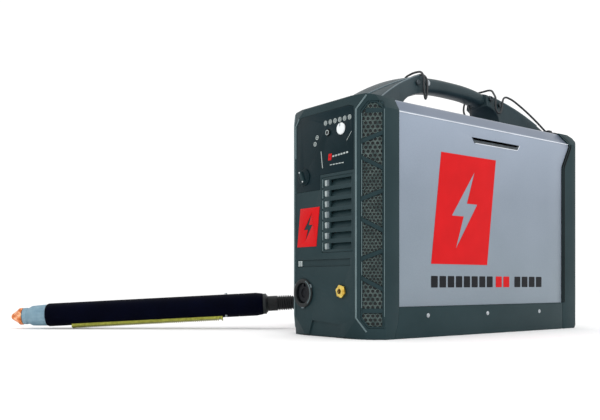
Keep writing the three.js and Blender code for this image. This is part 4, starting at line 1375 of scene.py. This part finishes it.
def make_air_fitting():
    """The brass air inlet: hexagonal base, neck and quick-release nipple."""
    centre = (AIR[0], REAR_Y, AIR[1])
    base = lathe([(0, 0.4), (10, 0.4), (10, 7), (0, 7)], centre, REARWARD, 6)
    publish("air_inlet_hex", base, "brass", replaced=["air_inlet_fitting"], rounding=0.5)
    profile = [(2.6, 23), (4.2, 23), (6, 19.6), (6, 16.4), (4.4, 15), (4.4, 12.4), (6, 11.2), (6, 6.5),
               (2.6, 6.5), (2.6, 23)]
    nipple = lathe(eased(profile, 0.5, False), centre, REARWARD, 40)
    publish("air_inlet_nipple", nipple, "brass")
    # painted shade: a near-black plug fills the nipple's bore
    bore = lathe([(0, 8), (2.7, 8), (2.7, 20), (0, 20)], centre, REARWARD, 24)
    publish("air_inlet_bore", bore, "dark_print")


def make_screws():
    """The screws of the rear bezel, of the fan grille and of the tray's sides."""
    heads = [countersunk((x, REAR_Y + 0.3, z), REARWARD) for x in (-74, 74) for z in (24, 150, 274)]
    for x in (-49.5, 49.5):
        for z in (FAN_Z - 49.5, FAN_Z + 49.5):
            heads.append(countersunk((x, REAR_Y + 0.2, z), REARWARD, 2.6))
    publish("rear_screws", together(*heads), "zinc_steel")
    sides = []
    for side in (1, -1):
        for y in (-120, 0, 120):
            sides.append(countersunk((side * (HALF_WIDTH + 0.2), y, 28), (side, 0, 0), 2.8))
    publish("tray_screws", together(*sides), "zinc_steel")


def make_rear_trim():
    """The raised border around the fan opening, and a blank rating plate."""
    inner, outer = 56, 58.5
    inside = box_outline(-inner, FAN_Z - inner, inner, FAN_Z + inner, 12, 6)
    outside = box_outline(-outer, FAN_Z - outer, outer, FAN_Z + outer, 14, 6)
    verts, faces = flat_shape([inside, outside], 1.0)
    border = [(u, REAR_Y + 0.4 + h, v) for u, v, h in verts], faces
    publish("fan_border", border, "bezel_plastic", rounding=0.35)
    plate = slab(box_outline(-26, 22, 20, 44, 2), "y", REAR_Y - 0.1, REAR_Y + 0.35)
    publish("blank_rating_plate", plate, "aluminium", rounding=0.12)


# ------------------------------------------------------------------ inside, seen through the slots
INNER = {
    "centre_chassis": "zinc_steel",
    "fan_frame": "black_plastic",
    "fan_rotor": "button_grey",
    "heatsink": "aluminium",
    "power_board": "circuit_board",
    "control_board": "circuit_board",
    "dc_capacitor_1": "capacitor_sleeve",
    "dc_capacitor_2": "capacitor_sleeve",
    "rectifier_module": "black_plastic",
    "transformer_core": "ferrite",
    "transformer_winding": "copper_winding",
    "output_choke": "copper_winding",
    "solenoid_valve": "brass",
    "air_filter_regulator": "aluminium",
    "air_hose": "rubber",
}


def make_inside():
    for node, material in INNER.items():
        dress(node, material)


# ------------------------------------------------------------------ torch
def along_torch(name, profile, material, body="root", node=None, sides=72, ease=0.5, angle=30):
    """A turned piece on the torch's axis: its profile is (radius, distance from the nozzle's tip)."""
    part = lathe(eased(profile, ease, False), TORCH_TIP, TORCH_AXIS, sides)
    return publish(name, part, material, body, [node] if node else [], angle=angle)


def make_nozzle():
    """The copper shield: a domed cone with a bored tip, and eight fins around it."""
    cone = [(1.3, 0.3), (3.2, 0), (4.6, 1.6), (7.0, 5.6), (10.2, 10.2), (12.4, 12.2), (13, 13.4), (13, 17),
            (12.2, 18), (1.3, 18), (1.3, 0.3)]
    shield = along_torch("torch_nozzle_shield", cone, "torch_copper", "torch_cartridge",
                         "torch_nozzle", 72, 0.6, 40)
    verts, faces = slab([(4.4, 2.0), (11.4, 12.6), (11.4, 15.8), (9.0, 13.6), (3.6, 5.2)], "y", -0.8, 0.8)
    fin = [(along, across, radius) for radius, across, along in verts], faces
    fins = [moved(fin, Matrix.Rotation(math.tau * place / 8, 4, "X")) for place in range(8)]
    verts, faces = together(*fins)
    lifted = [(x - 0.4, y, z * 1.04) for x, y, z in verts], faces
    publish("torch_nozzle_fins", on_torch(lifted), "torch_copper", "torch_cartridge",
            rounding=0.3)
    return shield


def make_cap():
    """The retaining cap: a collar, then a body with shallow grip flutes."""
    rings = []
    stations = [(18.3, 11.6), (19.0, 12.5), (24.6, 12.6), (25.2, 12.0), (26.4, 12.0), (27.0, 12.6),
                (28.5, 12.9), (32, 14.9), (33, 15.1), (44, 15.7), (53.4, 16.1), (54.4, 15.6),
                (54.7, 14.8)]
    for t, radius in stations:
        depth = 0.45 if 33 <= t <= 53.4 else 0
        ring = []
        for k in range(144):
            a = math.tau * k / 144
            r = radius - depth * (0.5 + 0.5 * math.cos(a * 18)) ** 3
            ring.append((t, r * math.cos(a), r * math.sin(a)))
        rings.append(ring)
    return publish("retaining_cap_body", on_torch(loft(rings)), "torch_cap", "torch_cartridge",
                   ["retaining_cap"], angle=28)


def make_sleeve():
    """The long positioning sleeve, with two fine grooves, and its two set screws."""
    profile = [(0, 55), (16.2, 55), (SLEEVE_RADIUS, 57.6), (SLEEVE_RADIUS, 88), (17.25, 88.4),
               (17.25, 89.4), (SLEEVE_RADIUS, 89.8), (SLEEVE_RADIUS, 346), (17.2, 346.4), (17.2, 347.6),
               (SLEEVE_RADIUS, 348), (SLEEVE_RADIUS, 374), (16.0, 384), (0, 384)]
    sleeve = along_torch("torch_sleeve_tube", profile, "torch_sleeve", node="torch_sleeve",
                         ease=0.4)
    profile = [(0, 1.4), (0.9, 1.4), (1.0, 2.3), (1.9, 2.3), (2.1, 1.8), (2.1, -2), (0, -2)]
    head = lathe(eased(profile, 0.2, False), (328, 0, SLEEVE_RADIUS - 0.2), (0, 0, 1), 24)
    screws = [moved(head, Matrix.Rotation(turn, 4, "X")) for turn in (0.0, math.pi - 0.62)]
    publish("torch_set_screws", on_torch(together(*screws)), "zinc_steel")
    return sleeve


RACK_START, RACK_END, TOOTH = 93.0, 322.0, 3.2


def make_rack():
    """The gear rack: a bar with a tooth every 3.2 mm on its lower face and a solid foot at each end."""
    count = int((RACK_END - RACK_START - 6) / TOOTH)
    lower = []
    for k in range(count):
        t = RACK_START + 3 + k * TOOTH
        lower += [(t, -20.2), (t + 0.5, -21.9), (t + 1.5, -21.9), (t + 2.0, -20.2)]
    start = [(RACK_START, -15.3), (RACK_START, -21.9), (RACK_START + 2.2, -21.9), (RACK_START + 2.6, -20.2)]
    end = [(RACK_END - 2.4, -20.2), (RACK_END - 2, -21.9), (RACK_END, -21.9), (RACK_END, -15.3)]
    bar = moved(slab(start + lower + end, "y", -5, 5), Matrix.Rotation(-0.26, 4, "X"))
    return publish("gear_rack_bar", on_torch(bar), "rack_brass", replaced=["gear_rack"],
                   rounding=0.22, segments=1)


def make_boot():
    """The ribbed rear boot, from the coupler to where the lead enters it."""
    coupler = [(0, 384.3), (15.4, 384.3), (15.6, 385.2), (15.6, 388.6), (14.8, 389.4), (12.8, 390.4),
               (12.6, 391.4), (0, 391.4)]
    back = along_torch("torch_coupler_ring", coupler, "black_plastic",
                       node="torch_coupler")
    profile = [(0, 391.7), (11.4, 391.7), (11.4, 404)]
    t = 405.0
    while t < 433:
        radius = 11.4 if t < 424 else 11.4 - (t - 424) * 0.24
        profile += [(radius, t), (radius, t + 1.7), (radius - 1.9, t + 2.0), (radius - 1.9, t + 3.0)]
        t += 3.4
    profile += [(9.0, 435.4), (8.4, 436), (0, 436)]
    boot = along_torch("torch_boot_sleeve", profile, "rubber", node="torch_boot",
                       ease=0.35)
    return back, boot


def make_torch():
    shield = make_nozzle()
    cap = make_cap()
    sleeve = make_sleeve()
    rack = make_rack()
    return [shield, cap, sleeve, rack, *make_boot()]


def make_lead_exit():
    """The gland on the left flank, and the tapered, ribbed strain relief on the lead."""
    _, y, z = LEAD_EXIT
    nut = gland((-HALF_WIDTH - 0.4, y, z), (-1, 0, 0), 0.98)
    publish("lead_gland_nut", nut, "black_plastic", replaced=["lead_gland"], rounding=0.3)
    profile = [(6.6, 0), (10.4, 0), (11, 1), (11, 6)]
    for k in range(9):
        h = 8 + k * 4.1
        radius = 10.7 - k * 0.26
        profile += [(radius, h), (radius, h + 2.1), (radius - 1.3, h + 2.5), (radius - 1.3, h + 3.7)]
    profile += [(8.0, 45.5), (6.6, 45.5), (6.6, 0)]
    relief = lathe(eased(profile, 0.4, False), (-HALF_WIDTH - 7.9, y, z), (-1, 0, 0), 48)
    publish("lead_strain_relief_sleeve", relief, "rubber", replaced=["lead_strain_relief"])


# ------------------------------------------------------------------ the whole object
make_camera()
make_studio()
make_housing()
make_front_panel()
make_handle()
make_rear_panel()
make_inside()
make_lead_exit()
make_lead(make_torch())
